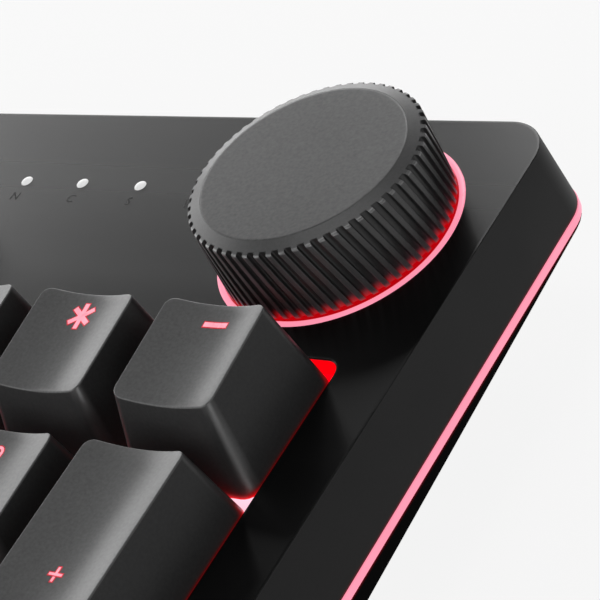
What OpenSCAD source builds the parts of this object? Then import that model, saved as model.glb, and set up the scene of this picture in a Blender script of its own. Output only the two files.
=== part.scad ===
// Full-size mechanical keyboard with a volume knob, a lit edge and fold-out feet.
// Millimetres. X runs to the right, Y to the rear, Z up from the desk.

/* [Key layout] */
// Gap between key blocks, in key pitches
block_gap_u = 0.25; // [0.25:0.05:0.5]
// Gap between the function row and the number row, in key pitches
function_gap_u = 0.5; // [0.4:0.05:0.8]
// How far a key goes down
key_travel = 4; // [3:0.1:4]

/* [Case] */
// Slope of the deck in degrees
tilt = 3; // [2:0.5:4]
// Deck beside the key blocks
side_margin = 7.9; // [7.5:0.1:12]
// Deck in front of the bottom row
front_margin = 7.9; // [7.5:0.1:12]
// Deck behind the function row
rear_margin = 12.6; // [11:0.1:20]
// Corner radius of the case
corner_r = 6.3; // [5:0.1:9]
// Thickness of the deck
deck_t = 2.5; // [2:0.1:3]
// Thickness of the case walls
wall_t = 2.2; // [1.8:0.1:2.4]
// Height of the upper wall, from the deck to the light strip
wall_h = 10.35; // [9.5:0.05:11]
// How far the upper wall leans out over its height
wall_flare = 0.75; // [0.2:0.05:1.5]
// Height of the light strip
strip_h = 1; // [0.8:0.05:1.6]
// How far the light strip stands out of the wall
strip_proud = 0.1; // [0.05:0.05:0.4]
// Depth of the light strip into the case
strip_depth = 3.6; // [3:0.1:4]
// Height of the lower side band at the rear edge
band_rear = 0.2; // [0.1:0.1:1]
// Height of the lower side band at the front edge
band_front = 5.5; // [3:0.1:6]
// How far the underside is drawn in at the sides and the rear
undercut = 18; // [14:1:22]
// How far the underside is drawn in at the front
undercut_front = 3; // [2:0.5:6]
// Thickness of the floor
floor_t = 2; // [1.8:0.1:3]
// Room between the floor and the lowest switch post
floor_room = 0.8; // [0.5:0.1:3]

/* [Keycaps] */
// Width of a single cap at its base
cap_base = 18.1; // [17.6:0.05:18.3]
// Gap between neighbouring caps at their bases
cap_gap = 0.95; // [0.75:0.05:1.4]
// Depth of the cap's lower edge below the deck
cap_sink = 0.8; // [0.3:0.1:0.8]
// How far each side of the cap leans in
cap_side_in = 2.05; // [1.8:0.05:2.6]
// How far the rear of the cap leans in
cap_rear_in = 1.47; // [1:0.01:2]
// How far the front of the cap leans in
cap_front_in = 2.84; // [2:0.01:3.2]
// Corner radius of the cap at its base
cap_base_r = 2; // [1.5:0.1:2.5]
// Corner radius of the cap at its top
cap_top_r = 1.3; // [0.8:0.1:1.8]
// Depth of the hollow across the top
cap_dish = 0.9; // [0.4:0.1:1.2]
// Thickness of the cap's walls
cap_wall = 1.2; // [1:0.1:1.4]
// Thickness of the cap's top
cap_top_t = 1.6; // [1.2:0.1:2]
// Gap between the caps and the sides of their well
well_side_gap = 0.4; // [0.35:0.05:0.6]
// Gap between the caps and the rear of their well
well_rear_gap = 1.85; // [0.5:0.05:2.2]
// Gap between the caps and the front of their well
well_front_gap = 0.6; // [0.4:0.05:1]
// Corner radius of the wells
well_r = 2; // [1:0.1:2.5]

/* [Switches] */
// Depth of the plate's top below the deck
plate_drop = 7; // [6.8:0.1:7.4]
// Thickness of the plate
plate_t = 1.5; // [1.2:0.1:1.6]
// Square hole for a switch in the plate
switch_hole = 14; // [13.9:0.05:14.2]
// Play of a switch in its hole
switch_play = 0.1; // [0.05:0.05:0.15]
// Depth of the switch body under the plate's top
switch_depth = 5; // [4.8:0.1:5.4]
// Height of the switch top above the plate
switch_top_h = 6.4; // [6.2:0.1:6.6]
// Width of the switch top at the plate
switch_flange = 14.6; // [14.4:0.1:15]
// Width of the switch top higher up
switch_neck = 11.6; // [11.4:0.1:12]
// Height of the wide part of the switch top
switch_flange_h = 2; // [1.5:0.1:2.2]
// Width of the stem
stem_w = 6; // [5.8:0.1:6.2]
// Depth of the stem from front to rear
stem_d = 7; // [6.8:0.1:7.2]
// Gap round the stem
stem_gap = 0.3; // [0.25:0.05:0.4]
// Width of the rim that keeps the stem in
stem_rim = 1; // [0.8:0.1:1.1]
// Length of the cross on the stem
stem_cross = 4; // [3.8:0.1:4.1]
// Thickness of the arms of the cross
stem_arm = 1.2; // [1.1:0.05:1.3]
// Height of the cross
stem_cross_h = 3.6; // [3.2:0.1:3.8]
// Width of the socket post in the cap
boss_d = 6; // [5.9:0.1:6.2]
// Diameter of the post that centres a switch on the board
switch_post_d = 3.9; // [3.6:0.1:4]
// How far that post stands out under the board
switch_post_out = 1.6; // [1.2:0.1:2]
// Outer diameter of the switch spring
spring_d = 4.6; // [4.2:0.1:5]
// Wire thickness of the switch spring
spring_wire = 0.3; // [0.2:0.05:0.4]
// Thickness of the board
board_t = 1.6; // [1.2:0.1:1.8]

/* [Knob] */
// Place of the knob left of the last key's centre
knob_left = 3.01; // [1:0.01:4]
// Place of the knob behind the number row
knob_back = 30.94; // [29:0.01:32]
// Diameter of the knob
knob_d = 30; // [26:0.1:30]
// Height of the knob's top above the deck
knob_top = 10.8; // [10:0.1:15]
// Height of the knob's lower edge above the deck
knob_bottom = 0.8; // [0.8:0.1:1.4]
// Diameter of the flat disc on the knob
disc_d = 25.8; // [22:0.1:25.8]
// Thickness of that disc
disc_t = 1; // [0.6:0.1:1.5]
// How far the rim slopes down to the knob's edge
rim_drop = 0.6; // [0.3:0.05:1]
// Chamfer at the top of the ribs
rib_chamfer = 0.25; // [0.1:0.05:0.4]
// Number of grooves round the knob
groove_n = 58; // [40:1:60]
// Width of a groove
groove_w = 0.9; // [0.6:0.05:1]
// Depth of a groove
groove_depth = 0.6; // [0.6:0.05:1]
// Slant of the grooves from the knob's axis
groove_slant = 14.5; // [0:0.5:20]
// How far the knob presses down
knob_travel = 0.5; // [0.3:0.1:0.5]
// Diameter of the encoder shaft
shaft_d = 6; // [5:0.1:6]
// Diameter of the light ring on the deck
ring_d = 31.74; // [31:0.02:33]
// Width of the bright rim of the light ring
ring_rim = 0.95; // [0.8:0.05:1.6]
// Height of that rim above the deck
ring_h = 0.1; // [0.05:0.05:0.2]
// Depth of the ring's inner shelf below the deck
ring_shelf_drop = 0.8; // [0.6:0.1:1]
// Width of the inner shelf
ring_shelf = 2.6; // [2:0.1:3]
// Depth of the ring's seat in the deck
ring_seat = 1.4; // [1.3:0.1:1.6]

/* [Indicators and socket] */
// Number of indicator lenses
lens_n = 4; // [3:1:4]
// Diameter of a lens
lens_d = 1.6; // [1.2:0.1:2]
// Distance between the lenses
lens_pitch = 10.3; // [8:0.1:10.3]
// Place of the first lens left of the last key's centre
lens_left = 59.6; // [55:0.1:60]
// Place of the lenses behind the number row
lens_back = 37.1; // [36:0.1:38]
// Width of the USB socket
usb_w = 8.94; // [8.9:0.02:9.2]
// Height of the USB socket
usb_h = 3.2; // [3.1:0.02:3.3]
// Length of the USB socket
usb_l = 7.4; // [7:0.1:8]
// Wall of the USB socket
usb_wall = 0.3; // [0.2:0.05:0.4]
// Place of the USB socket left of the middle
usb_left = 120; // [100:1:130]
// Gap round the USB socket in the case
usb_gap = 0.25; // [0.2:0.05:0.4]

/* [Feet and screws] */
// How far the rubber feet stand out of the floor
foot_proud = 1.6; // [1:0.1:2]
// Depth of the rubber feet in the floor
foot_seat = 0.6; // [0.4:0.1:0.8]
// Width of a rubber foot
foot_w = 40; // [30:1:44]
// Depth of a rubber foot
foot_d = 9; // [7:0.5:11]
// Place of the rubber feet from the side of the case
foot_edge = 123; // [115:1:130]
// Place of the fold-out feet from the side of the case
leg_edge = 73; // [64:1:78]
// Width of a fold-out foot
leg_w = 24; // [20:1:26]
// Length of a fold-out foot from its hinge
leg_l = 24; // [20:1:26]
// Thickness of a fold-out foot
leg_t = 3.6; // [3.2:0.1:3.8]
// Diameter of the hinge barrel
leg_barrel_d = 4; // [3.6:0.1:4.2]
// Diameter of the hinge pin
leg_pin_d = 1.6; // [1.4:0.1:2]
// Thickness of the rubber tip
leg_tip_t = 1.2; // [0.8:0.1:1.6]
// Gap round a fold-out foot in its pocket
leg_gap = 0.5; // [0.4:0.1:0.8]
// Place of the outer case screws from the side of the case
case_screw_edge = 33; // [28:1:42]
// Place of the front plate screws from the middle
plate_screw_x = 95; // [85:1:105]
// Distance between the rear plate screws
rear_screw_gap = 100; // [90:1:105]
// Diameter of the screw posts
post_d = 5.2; // [5:0.1:5.4]
// Diameter of the screw shanks
screw_d = 2.5; // [2:0.1:2.6]
// Diameter of the screw heads
screw_head_d = 4.6; // [4:0.1:4.8]
// Height of the screw heads
screw_head_h = 1.5; // [1.2:0.1:1.7]

/* [Hidden] */
$fn = 48;
hull_fn = 32;
eps = 0.01;
over = 1;
fit = 0.05;

// Distance between neighbouring key centres, and key blocks in such pitches from the left
key_pitch = cap_base + cap_gap;
main_u = 15;
nav_cols = 3;
pad_cols = 4;
key_rows = 5;
nav_u = main_u + block_gap_u;
pad_u = nav_u + nav_cols + block_gap_u;
layout_w = (pad_u + pad_cols) * key_pitch;
rows_d = (key_rows + 1 + function_gap_u) * key_pitch;
case_w = layout_w + 2 * side_margin;
case_d = front_margin + rows_d + rear_margin;
layout_left = -layout_w / 2;
number_y = -case_d / 2 + front_margin + (key_rows - 0.5) * key_pitch;
function_row = -1 - function_gap_u;
function row_y(row) = number_y - row * key_pitch;

// Heights of a cap's rear and front top edges, for the four rows of caps
cap_rear_z = [12.05, 9.7, 8.7, 8.9];
cap_front_z = [10.67, 8.9, 8.6, 9.5];
space_crown = -0.5;
corner_steps = 2;
dish_steps = 4;

// A key is [x, y, width in pitches, depth in pitches, row of caps, dish]
function key(u, row, wide, deep, profile, dish = cap_dish) =
    [layout_left + (u + wide / 2) * key_pitch, row_y(row), wide, deep, profile, dish];
function left_of(widths, i) = i == 0 ? 0 : left_of(widths, i - 1) + widths[i - 1];
function key_row(widths, row, profile) =
    [for (i = [0:len(widths) - 1]) key(left_of(widths, i), row, widths[i], 1, profile)];
function ones(n) = [for (i = [1:n]) 1];

function_cols = [0, 2, 3, 4, 5, 6.5, 7.5, 8.5, 9.5, 11, 12, 13, 14];
function_keys = [for (u = function_cols) key(u, function_row, 1, 1, 0)];
system_keys = [for (c = [0:2]) key(nav_u + c, function_row, 1, 1, 0)];
number_keys = key_row(concat(ones(13), [2]), 0, 0);
top_letter_keys = key_row(concat([1.5], ones(12), [1.5]), 1, 1);
home_keys = key_row(concat([1.75], ones(11), [2.25]), 2, 2);
shift_keys = key_row(concat([2.25], ones(10), [2.75]), 3, 3);
modifier_w = 1.25;
space_w = 6.25;
bottom_keys = concat(
    [for (i = [0:2]) key(i * modifier_w, 4, modifier_w, 1, 3)],
    [key(3 * modifier_w, 4, space_w, 1, 3, space_crown)],
    [for (i = [0:3]) key((3 + i) * modifier_w + space_w, 4, modifier_w, 1, 3)]
);
navigation_keys = [for (row = [0, 1], c = [0:2]) key(nav_u + c, row, 1, 1, row)];
arrow_keys = concat(
    [key(nav_u + 1, 3, 1, 1, 3)],
    [for (c = [0:2]) key(nav_u + c, 4, 1, 1, 3)]
);
// Number pad: name, column, row, width, depth, row of caps
pad_layout = [
    ["key_num_lock", 0, 0, 1, 1, 0], ["key_divide", 1, 0, 1, 1, 0],
    ["key_multiply", 2, 0, 1, 1, 0], ["key_subtract", 3, 0, 1, 1, 0],
    ["key_7", 0, 1, 1, 1, 1], ["key_8", 1, 1, 1, 1, 1], ["key_9", 2, 1, 1, 1, 1],
    ["key_add", 3, 1.5, 1, 2, 1],
    ["key_4", 0, 2, 1, 1, 2], ["key_5", 1, 2, 1, 1, 2], ["key_6", 2, 2, 1, 1, 2],
    ["key_1", 0, 3, 1, 1, 3], ["key_2", 1, 3, 1, 1, 3], ["key_3", 2, 3, 1, 1, 3],
    ["key_enter", 3, 3.5, 1, 2, 3],
    ["key_0", 0, 4, 2, 1, 3], ["key_decimal", 2, 4, 1, 1, 3]
];
pad_keys = [for (p = pad_layout) key(pad_u + p[1], p[2], p[3], p[4], p[5])];
all_keys = concat(function_keys, system_keys, number_keys, top_letter_keys, home_keys,
    shift_keys, bottom_keys, navigation_keys, arrow_keys, pad_keys);

// Levels below the deck
strip_drop = wall_h;
seam_drop = wall_h + strip_h;
board_drop = plate_drop + switch_depth;
post_drop = board_drop + board_t + switch_post_out;
joint_room = 0.6;
joint_drop = board_drop + board_t + joint_room;
neck_z = -plate_drop + switch_top_h;
neck_t = 2.4;
stem_ceiling = neck_z - neck_t;
stem_rest = 0.4;
switch_body = switch_hole - 2 * switch_play;
switch_floor = 1;
// Lower end of a stem at rest: it keeps some room under it when the key is down
stem_room = 1;
stem_low = -board_drop + switch_floor + key_travel + stem_room;

// Case outline where the strip is, and the lower case
strip_w = case_w + 2 * wall_flare;
strip_d = case_d + 2 * wall_flare;
band_mid = seam_drop + (band_rear + band_front) / 2;
band_angle = atan((band_front - band_rear) / strip_d);
floor_z = foot_proud;
deck_height = floor_z + floor_t + floor_room + case_d / 2 * sin(tilt) + post_drop * cos(tilt);
middle_y = (strip_drop + seam_drop) / 2 * sin(tilt);
under_w = strip_w - 2 * undercut;
under_d = strip_d - undercut - undercut_front;
under_y = (undercut_front - undercut) / 2;

// Screws: those of the plate start under the plate, those of the case under the floor
post_r = post_d / 2;
post_bite = 0.2;
edge_in = wall_t + post_r - post_bite;
edge_x = case_w / 2 - edge_in;
edge_y = case_d / 2 - edge_in;
bar_y = (row_y(0) + row_y(function_row) + well_rear_gap - well_front_gap) / 2;
case_screw_x = strip_w / 2 - case_screw_edge;
case_screws_at = [for (x = [-1, 0, 1], y = [-edge_y, bar_y]) [x * case_screw_x, y]];
plate_screws_at = concat(
    [for (x = [-edge_x, edge_x], row = [1, 3]) [x, row_y(row)]],
    [for (x = [-1, 1], y = [-edge_y, bar_y]) [x * plate_screw_x, y]],
    [for (x = [-1.5, -0.5, 0.5, 1.5]) [x * rear_screw_gap, edge_y]]
);
screw_in = 4;
post_gap = 0.4;
seat_t = 2.2;
head_seat = joint_drop + seat_t;
head_gap = 0.3;
boss_wall = 1;

// Knob and encoder
last_x = layout_left + layout_w - key_pitch / 2;
knob_x = last_x - knob_left;
knob_y = row_y(0) + knob_back;
knob_r = knob_d / 2;
neck_wall = 0.6;
neck_d = shaft_d + 2 * neck_wall;
neck_top = 2.4;
nut_rim = 2;
nut_w = neck_d + 2 * nut_rim;
nut_h = 1.8;
encoder_w = 12.4;
encoder_d = 13.2;
encoder_h = 7;
encoder_gap = 0.5;
rotor_d = 9.4;
rotor_h = 3.4;
rotor_gap = 0.3;
shoulder = 1;
tail_d = shaft_d - 2 * shoulder;
hub_wall = 2.5;
hub_d = shaft_d + 2 * hub_wall;
hub_room = 0.5;
hub_z = neck_top + knob_travel + hub_room;
hollow_h = 3.4;
hollow_z = knob_bottom + hollow_h;
skirt_t = 3.5;
hollow_r = knob_r - skirt_t;
roof_t = 1.4;
bore_top = knob_top - disc_t - roof_t;

// Board and socket
board_side = 1.5;
board_w = layout_w + 2 * board_side;
board_front_in = 0.5;
board_front = row_y(4) - key_pitch / 2 + board_front_in;
board_rear_out = 3.5;
board_rear = row_y(0) + lens_back + board_rear_out;
plate_gap = 0.4;
plate_w = case_w - 2 * (wall_t + plate_gap);
plate_d = case_d - 2 * (wall_t + plate_gap);
socket_in = 0.6;
socket_y = strip_d / 2 - socket_in;
tongue_side = 3.5;
tongue_w = usb_w + 2 * tongue_side;
tongue_hold = 0.6;
tongue_end = socket_y - usb_l + tongue_hold;

// LEDs and chip
led_back = 9;
led_size = [3, 1.6];
lens_led_size = [2, 1.6];
edge_led_size = [1.4, 3];
led_h = 1.1;
led_edge_in = 0.8;
chip_x = 60;
chip_w = 8;
chip_h = 1.2;
lens_flange = 0.6;
lens_flange_t = 0.8;

// Fold-out feet
pocket_wall = 1.6;
leg_lift = 0.5;
leg_x = strip_w / 2 - leg_edge;
leg_z = floor_z + leg_lift + leg_t / 2;
leg_in = 8;
leg_y = under_y + under_d / 2 - leg_in;
leg_play = 0.075;
leg_pin_end = 0.5;
leg_pin_l = leg_w + 2 * (leg_gap + pocket_wall - leg_pin_end);
tip_in = 2;
tip_edge = 0.3;
pocket_top = leg_z + leg_t / 2 + leg_gap;
foot_in = 6;
foot_x = strip_w / 2 - foot_edge;
foot_rear_y = leg_y - foot_in;
foot_front_y = under_y - under_d / 2 + foot_d / 2 + foot_in;

// Places its children on the sloping deck: z is 0 at the deck's surface
module on_deck() {
    translate([0, -middle_y, deck_height]) rotate([tilt, 0, 0]) children();
}

module at_keys(keys = all_keys) {
    for (k = keys) translate([k[0], k[1], 0]) children();
}

module at_points(points) {
    for (p = points) translate([p[0], p[1], 0]) children();
}

module at_lenses() {
    for (i = [0:lens_n - 1])
        translate([last_x - lens_left + i * lens_pitch, row_y(0) + lens_back, 0]) children();
}

module at_knob() {
    translate([knob_x, knob_y, 0]) children();
}

module rounded_rect(w, d, r) {
    square([w - 2 * r, d], center = true);
    square([w, d - 2 * r], center = true);
    for (sx = [-1, 1], sy = [-1, 1])
        translate([sx * (w / 2 - r), sy * (d / 2 - r)]) circle(r);
}

// Upright prism of the shape under it, between two levels
module between(low, high) {
    translate([0, 0, low]) linear_extrude(high - low) children();
}

module block(w, d, low, high) {
    between(low, high) square([w, d], center = true);
}

module slab(w, d, r) {
    linear_extrude(eps) rounded_rect(w, d, r, $fn = hull_fn);
}

// Leaning box of the upper case, drawn in by inset, from the level top to the strip
module upper_form(inset, top, bottom) {
    r = corner_r - inset;
    hull() {
        translate([0, 0, top - eps]) slab(case_w - 2 * inset, case_d - 2 * inset, r);
        translate([0, 0, bottom]) slab(strip_w - 2 * inset, strip_d - 2 * inset, r);
    }
}

// Lower case: upright band with a sloping lower edge, then drawn in to the floor
module lower_form(inset, lift, seam) {
    r = corner_r - inset;
    w = strip_w - 2 * inset;
    d = strip_d - 2 * inset;
    hull() {
        on_deck() translate([0, 0, -seam_drop + seam - eps]) slab(w, d, r);
        on_deck() translate([0, 0, -band_mid + lift]) rotate([band_angle, 0, 0]) slab(w, d, r);
        translate([0, under_y, floor_z + lift]) slab(under_w - 2 * inset, under_d - 2 * inset, r);
    }
}

// Well round a block of keys, given in key pitches and rows
module well(u, row, wide, deep) {
    w = wide * key_pitch - cap_gap + 2 * well_side_gap;
    d = deep * key_pitch - cap_gap + well_rear_gap + well_front_gap;
    x = layout_left + (u + wide / 2) * key_pitch;
    y = row_y(row + (deep - 1) / 2) + (well_rear_gap - well_front_gap) / 2;
    translate([x, y]) rounded_rect(w, d, well_r);
}

module wells() {
    well(0, function_row, 1, 1);
    for (u = [2, 6.5, 11]) well(u, function_row, 4, 1);
    well(nav_u, function_row, nav_cols, 1);
    well(0, 0, main_u, key_rows);
    well(nav_u, 0, nav_cols, 2);
    well(nav_u + 1, 3, 1, 2);
    well(nav_u, 4, nav_cols, 1);
    well(pad_u, 0, pad_cols, key_rows);
}

module socket_slot() {
    translate([-usb_left, strip_d / 2, 0])
        block(usb_w + 2 * usb_gap, 8 * wall_t, -board_drop - usb_gap, -board_drop + usb_h + usb_gap);
}

module top_case() {
    color("#2b2b2d") on_deck() difference() {
        union() {
            difference() {
                upper_form(0, 0, -strip_drop);
                upper_form(wall_t, -deck_t, -strip_drop - eps);
                between(-2 * deck_t, deck_t) wells();
            }
            at_points(plate_screws_at) between(-plate_drop, -deck_t / 2) circle(post_r);
            at_points(case_screws_at) between(-joint_drop, -deck_t / 2) circle(post_r);
        }
        at_points(plate_screws_at)
            between(-plate_drop - over, -plate_drop + screw_in) circle(screw_d / 2 + fit);
        at_points(case_screws_at)
            between(-joint_drop - over, -joint_drop + screw_in + over) circle(screw_d / 2 + fit);
        at_lenses() between(-2 * deck_t, deck_t) circle(lens_d / 2 + fit);
        at_knob() between(-2 * deck_t, deck_t) circle(neck_d / 2 + 4 * fit);
        at_knob() between(-ring_seat, deck_t) difference() {
            circle(ring_d / 2 + fit);
            circle(ring_d / 2 - ring_rim - ring_shelf - fit);
        }
        socket_slot();
    }
}

module legs() {
    for (side = [-1, 1]) translate([side * leg_x, leg_y, leg_z]) children();
}

module across(d, w) {
    rotate([0, 90, 0]) cylinder(d = d, h = w, center = true);
}

module pocket(grow) {
    w = leg_w + 2 * (leg_gap + grow);
    rear = leg_barrel_d / 2 + leg_gap + grow;
    front = leg_l + leg_tip_t + leg_gap + grow;
    legs() translate([0, (rear - front) / 2, -leg_z])
        block(w, rear + front, floor_z - over, pocket_top + grow * 0.75);
}

module at_feet() {
    for (x = [-foot_x, foot_x], y = [foot_front_y, foot_rear_y]) translate([x, y, 0]) children();
}

module bottom_case() {
    boss_r = screw_head_d / 2 + head_gap + boss_wall;
    color("#1d1d1f") difference() {
        union() {
            difference() {
                lower_form(0, 0, 0);
                lower_form(wall_t, floor_t, over);
            }
            intersection() {
                lower_form(0, 0, 0);
                union() {
                    on_deck() at_points(case_screws_at)
                        between(-deck_height - deck_t, -joint_drop) circle(boss_r);
                    pocket(pocket_wall);
                }
            }
        }
        on_deck() at_points(case_screws_at) between(-deck_height, -joint_drop + over) circle(screw_d / 2 + fit);
        on_deck() at_points(case_screws_at)
            between(-deck_height - deck_t, -head_seat) circle(screw_head_d / 2 + head_gap);
        pocket(0);
        legs() across(leg_pin_d, leg_pin_l);
        at_feet() between(0, floor_z + foot_seat) rounded_rect(foot_w + fit, foot_d + fit, foot_d / 3);
        on_deck() socket_slot();
    }
}

module side_light_strip() {
    color("#ff9fb4") on_deck() difference() {
        between(-seam_drop, -strip_drop) difference() {
            rounded_rect(strip_w + 2 * strip_proud, strip_d + 2 * strip_proud, corner_r + strip_proud);
            inner_w = strip_w - 2 * strip_depth;
            rounded_rect(inner_w, strip_d - 2 * strip_depth, corner_r - strip_depth);
        }
        socket_slot();
        at_points(case_screws_at) between(-seam_drop - over, -strip_drop + over) circle(post_r + post_gap);
    }
}

module switch_plate() {
    color("#c9c9cc") on_deck() between(-plate_drop - plate_t, -plate_drop) difference() {
        rounded_rect(plate_w, plate_d, corner_r - wall_t);
        at_keys() square(switch_hole, center = true);
        at_points(plate_screws_at) circle(screw_d / 2 + 2 * fit);
        at_points(case_screws_at) circle(post_r + post_gap);
        at_lenses() circle(lens_d / 2 + 2 * lens_flange);
        at_knob() square([encoder_w + 2 * encoder_gap, encoder_d + 2 * encoder_gap], center = true);
    }
}

module circuit_board() {
    color("#1c3b2a") on_deck() between(-board_drop - board_t, -board_drop) difference() {
        union() {
            translate([-board_w / 2, board_front]) square([board_w, board_rear - board_front]);
            translate([-usb_left - tongue_w / 2, board_rear - over])
                square([tongue_w, tongue_end - board_rear + over]);
        }
        at_keys() circle(switch_post_d / 2 + 2 * fit);
        at_points(case_screws_at) circle(post_r + post_gap);
    }
}

module switch_bases() {
    cavity = 2 * (stem_rim + stem_gap);
    color("#202022") on_deck() at_keys() difference() {
        union() {
            block(switch_body, switch_body, -board_drop, -plate_drop);
            between(-post_drop, -board_drop) circle(d = switch_post_d, $fn = 8);
        }
        block(stem_w + cavity, stem_d + cavity, -board_drop + switch_floor, -plate_drop + over);
    }
}

module switch_tops() {
    pocket_in = 2 * (stem_rim + stem_gap);
    color("#303033") on_deck() at_keys() difference() {
        union() {
            block(switch_flange, switch_flange, -plate_drop, -plate_drop + switch_flange_h);
            block(switch_neck, switch_neck, -plate_drop + switch_flange_h / 2, neck_z);
        }
        block(stem_w + pocket_in, stem_d + pocket_in, -plate_drop - over, stem_ceiling);
        block(stem_w + 2 * stem_gap, stem_d + 2 * stem_gap, stem_ceiling - over, neck_z + over);
    }
}

// The springs stand as plain sleeves inside the closed switches
module switch_springs() {
    color("#b9b9bd") on_deck() at_keys() between(-board_drop + switch_floor, stem_low) difference() {
        circle(spring_d / 2);
        circle(spring_d / 2 - spring_wire);
    }
}

module backlight_leds() {
    color("#f4e9e9") on_deck() {
        at_keys() translate([0, led_back, 0])
            block(led_size[0], led_size[1], -board_drop, -board_drop + led_h);
        at_lenses() block(lens_led_size[0], lens_led_size[1], -board_drop, -board_drop + led_h);
    }
}

// Side-looking LEDs along the ends of the board, aimed at the light strip
module edge_leds() {
    color("#f4e9e9") on_deck() for (x = [-1, 1], row = [0:4])
        translate([x * (board_w / 2 - led_edge_in), row_y(row), 0])
            block(edge_led_size[0], edge_led_size[1], -board_drop, -board_drop + led_h);
}

module controller_chip() {
    color("#151516") on_deck() translate([chip_x, bar_y, 0])
        block(chip_w, chip_w, -board_drop - board_t - chip_h, -board_drop - board_t);
}

module usb_socket() {
    tongue_t = 0.7;
    back_t = 1;
    tongue_in = 1.2;
    color("#bfc1c4") on_deck() translate([-usb_left, socket_y, -board_drop + usb_h / 2]) rotate([90, 0, 0])
        union() {
            linear_extrude(usb_l) difference() {
                rounded_rect(usb_w, usb_h, usb_h / 3);
                rounded_rect(usb_w - 2 * usb_wall, usb_h - 2 * usb_wall, usb_h / 3 - usb_wall);
            }
            translate([0, 0, usb_l - back_t]) linear_extrude(back_t)
                rounded_rect(usb_w - eps, usb_h - eps, usb_h / 3);
            translate([0, 0, tongue_in]) linear_extrude(usb_l - tongue_in - back_t / 2)
                square([usb_w - 2 * tongue_in, tongue_t], center = true);
        }
}

module indicator_lenses() {
    color("white") on_deck() at_lenses() {
        between(-deck_t - lens_flange_t, fit) circle(lens_d / 2);
        between(-deck_t - lens_flange_t, -deck_t) circle(lens_d / 2 + lens_flange);
    }
}

module knob_light_ring() {
    rim_in = ring_d / 2 - ring_rim;
    color("#ff9fb4") on_deck() at_knob() {
        between(-ring_seat, ring_h) difference() {
            circle(ring_d / 2);
            circle(rim_in);
        }
        between(-ring_seat, -ring_shelf_drop) difference() {
            circle(rim_in + eps);
            circle(rim_in - ring_shelf);
        }
    }
}

module encoder_body() {
    color("#8d8f93") on_deck() at_knob() difference() {
        union() {
            block(encoder_w, encoder_d, -board_drop, -board_drop + encoder_h);
            between(-board_drop + encoder_h - over, neck_top) circle(neck_d / 2);
        }
        between(-board_drop - over, -board_drop + rotor_h + 2 * rotor_gap) circle(rotor_d / 2 + rotor_gap);
        between(-board_drop, neck_top + over) circle(shaft_d / 2 + 2 * fit);
    }
}

module encoder_nut() {
    color("#a9abae") on_deck() at_knob() between(0, nut_h) difference() {
        circle(d = nut_w, $fn = 6);
        circle(neck_d / 2 + fit);
    }
}

module encoder_rotor() {
    color("#d8d6cf") on_deck() at_knob() between(-board_drop + rotor_gap, -board_drop + rotor_gap + rotor_h)
        difference() {
            circle(rotor_d / 2);
            circle(tail_d / 2 + 2 * fit);
        }
}

module encoder_shaft() {
    color("#b4b6b9") on_deck() at_knob() {
        between(-board_drop + 2 * rotor_gap + rotor_h + knob_travel, bore_top - fit) circle(shaft_d / 2);
        between(-board_drop + rotor_gap + knob_travel, 0) circle(tail_d / 2);
    }
}

// Half section of the knob: hollow under, hub round the shaft, seat for the disc
module knob_section() {
    edge_r = knob_r - rib_chamfer;
    edge_z = knob_top - rim_drop;
    bore_r = shaft_d / 2 + fit;
    seat_z = knob_top - disc_t;
    polygon([
        [bore_r, hub_z], [hub_d / 2, hub_z], [hub_d / 2, hollow_z], [hollow_r, hollow_z],
        [hollow_r, knob_bottom], [knob_r, knob_bottom], [knob_r, edge_z - rib_chamfer],
        [edge_r, edge_z], [disc_d / 2, knob_top], [disc_d / 2, seat_z], [0, seat_z],
        [0, bore_top], [bore_r, bore_top]
    ]);
}

// Slanted slot with a round bottom, from past the knob's lower edge to past its top
module groove() {
    long = (knob_top - knob_bottom + 2 * over) / cos(groove_slant) + groove_w;
    translate([knob_r - groove_depth + groove_w / 2, 0, (knob_top + knob_bottom) / 2])
        rotate([groove_slant, 0, 0]) {
            cylinder(d = groove_w, h = long, center = true);
            translate([0, -groove_w / 2, -long / 2]) cube([groove_depth, groove_w, long]);
        }
}

module knob_body() {
    color("#3a3a3c") on_deck() at_knob() difference() {
        rotate_extrude() knob_section();
        for (i = [0:groove_n - 1]) rotate(i * 360 / groove_n) groove();
    }
}

module knob_top_disc() {
    color("#58585a") on_deck() at_knob() between(knob_top - disc_t, knob_top) circle(disc_d / 2 - fit);
}

module screw(seat, length) {
    between(seat - screw_head_h, seat) circle(screw_head_d / 2);
    between(seat - eps, seat + length) circle(screw_d / 2);
}

module plate_screws() {
    color("#77797c") on_deck() at_points(plate_screws_at)
        screw(-plate_drop - plate_t, plate_t + screw_in - post_gap);
}

module case_screws() {
    color("#77797c") on_deck() at_points(case_screws_at)
        screw(-head_seat, head_seat - joint_drop + screw_in);
}

module rubber_feet() {
    color("#111112") at_feet() between(0, floor_z + foot_seat) rounded_rect(foot_w, foot_d, foot_d / 3);
}

module foot_hinge_pins() {
    color("#9a9ca0") legs() across(leg_pin_d - eps, leg_pin_l);
}

module tilt_foot(side) {
    color("#242426") translate([side * leg_x, leg_y, leg_z]) difference() {
        union() {
            across(leg_barrel_d, leg_w);
            translate([0, -leg_l / 2, 0]) block(leg_w, leg_l, -leg_t / 2, leg_t / 2);
        }
        across(leg_pin_d + 2 * leg_play, leg_w + over);
    }
}

module foot_tip(side) {
    color("#111112") translate([side * leg_x, leg_y - leg_l - leg_tip_t / 2, leg_z])
        block(leg_w - 2 * tip_in, leg_tip_t, -leg_t / 2 + tip_edge, leg_t / 2 - tip_edge);
}

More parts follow.
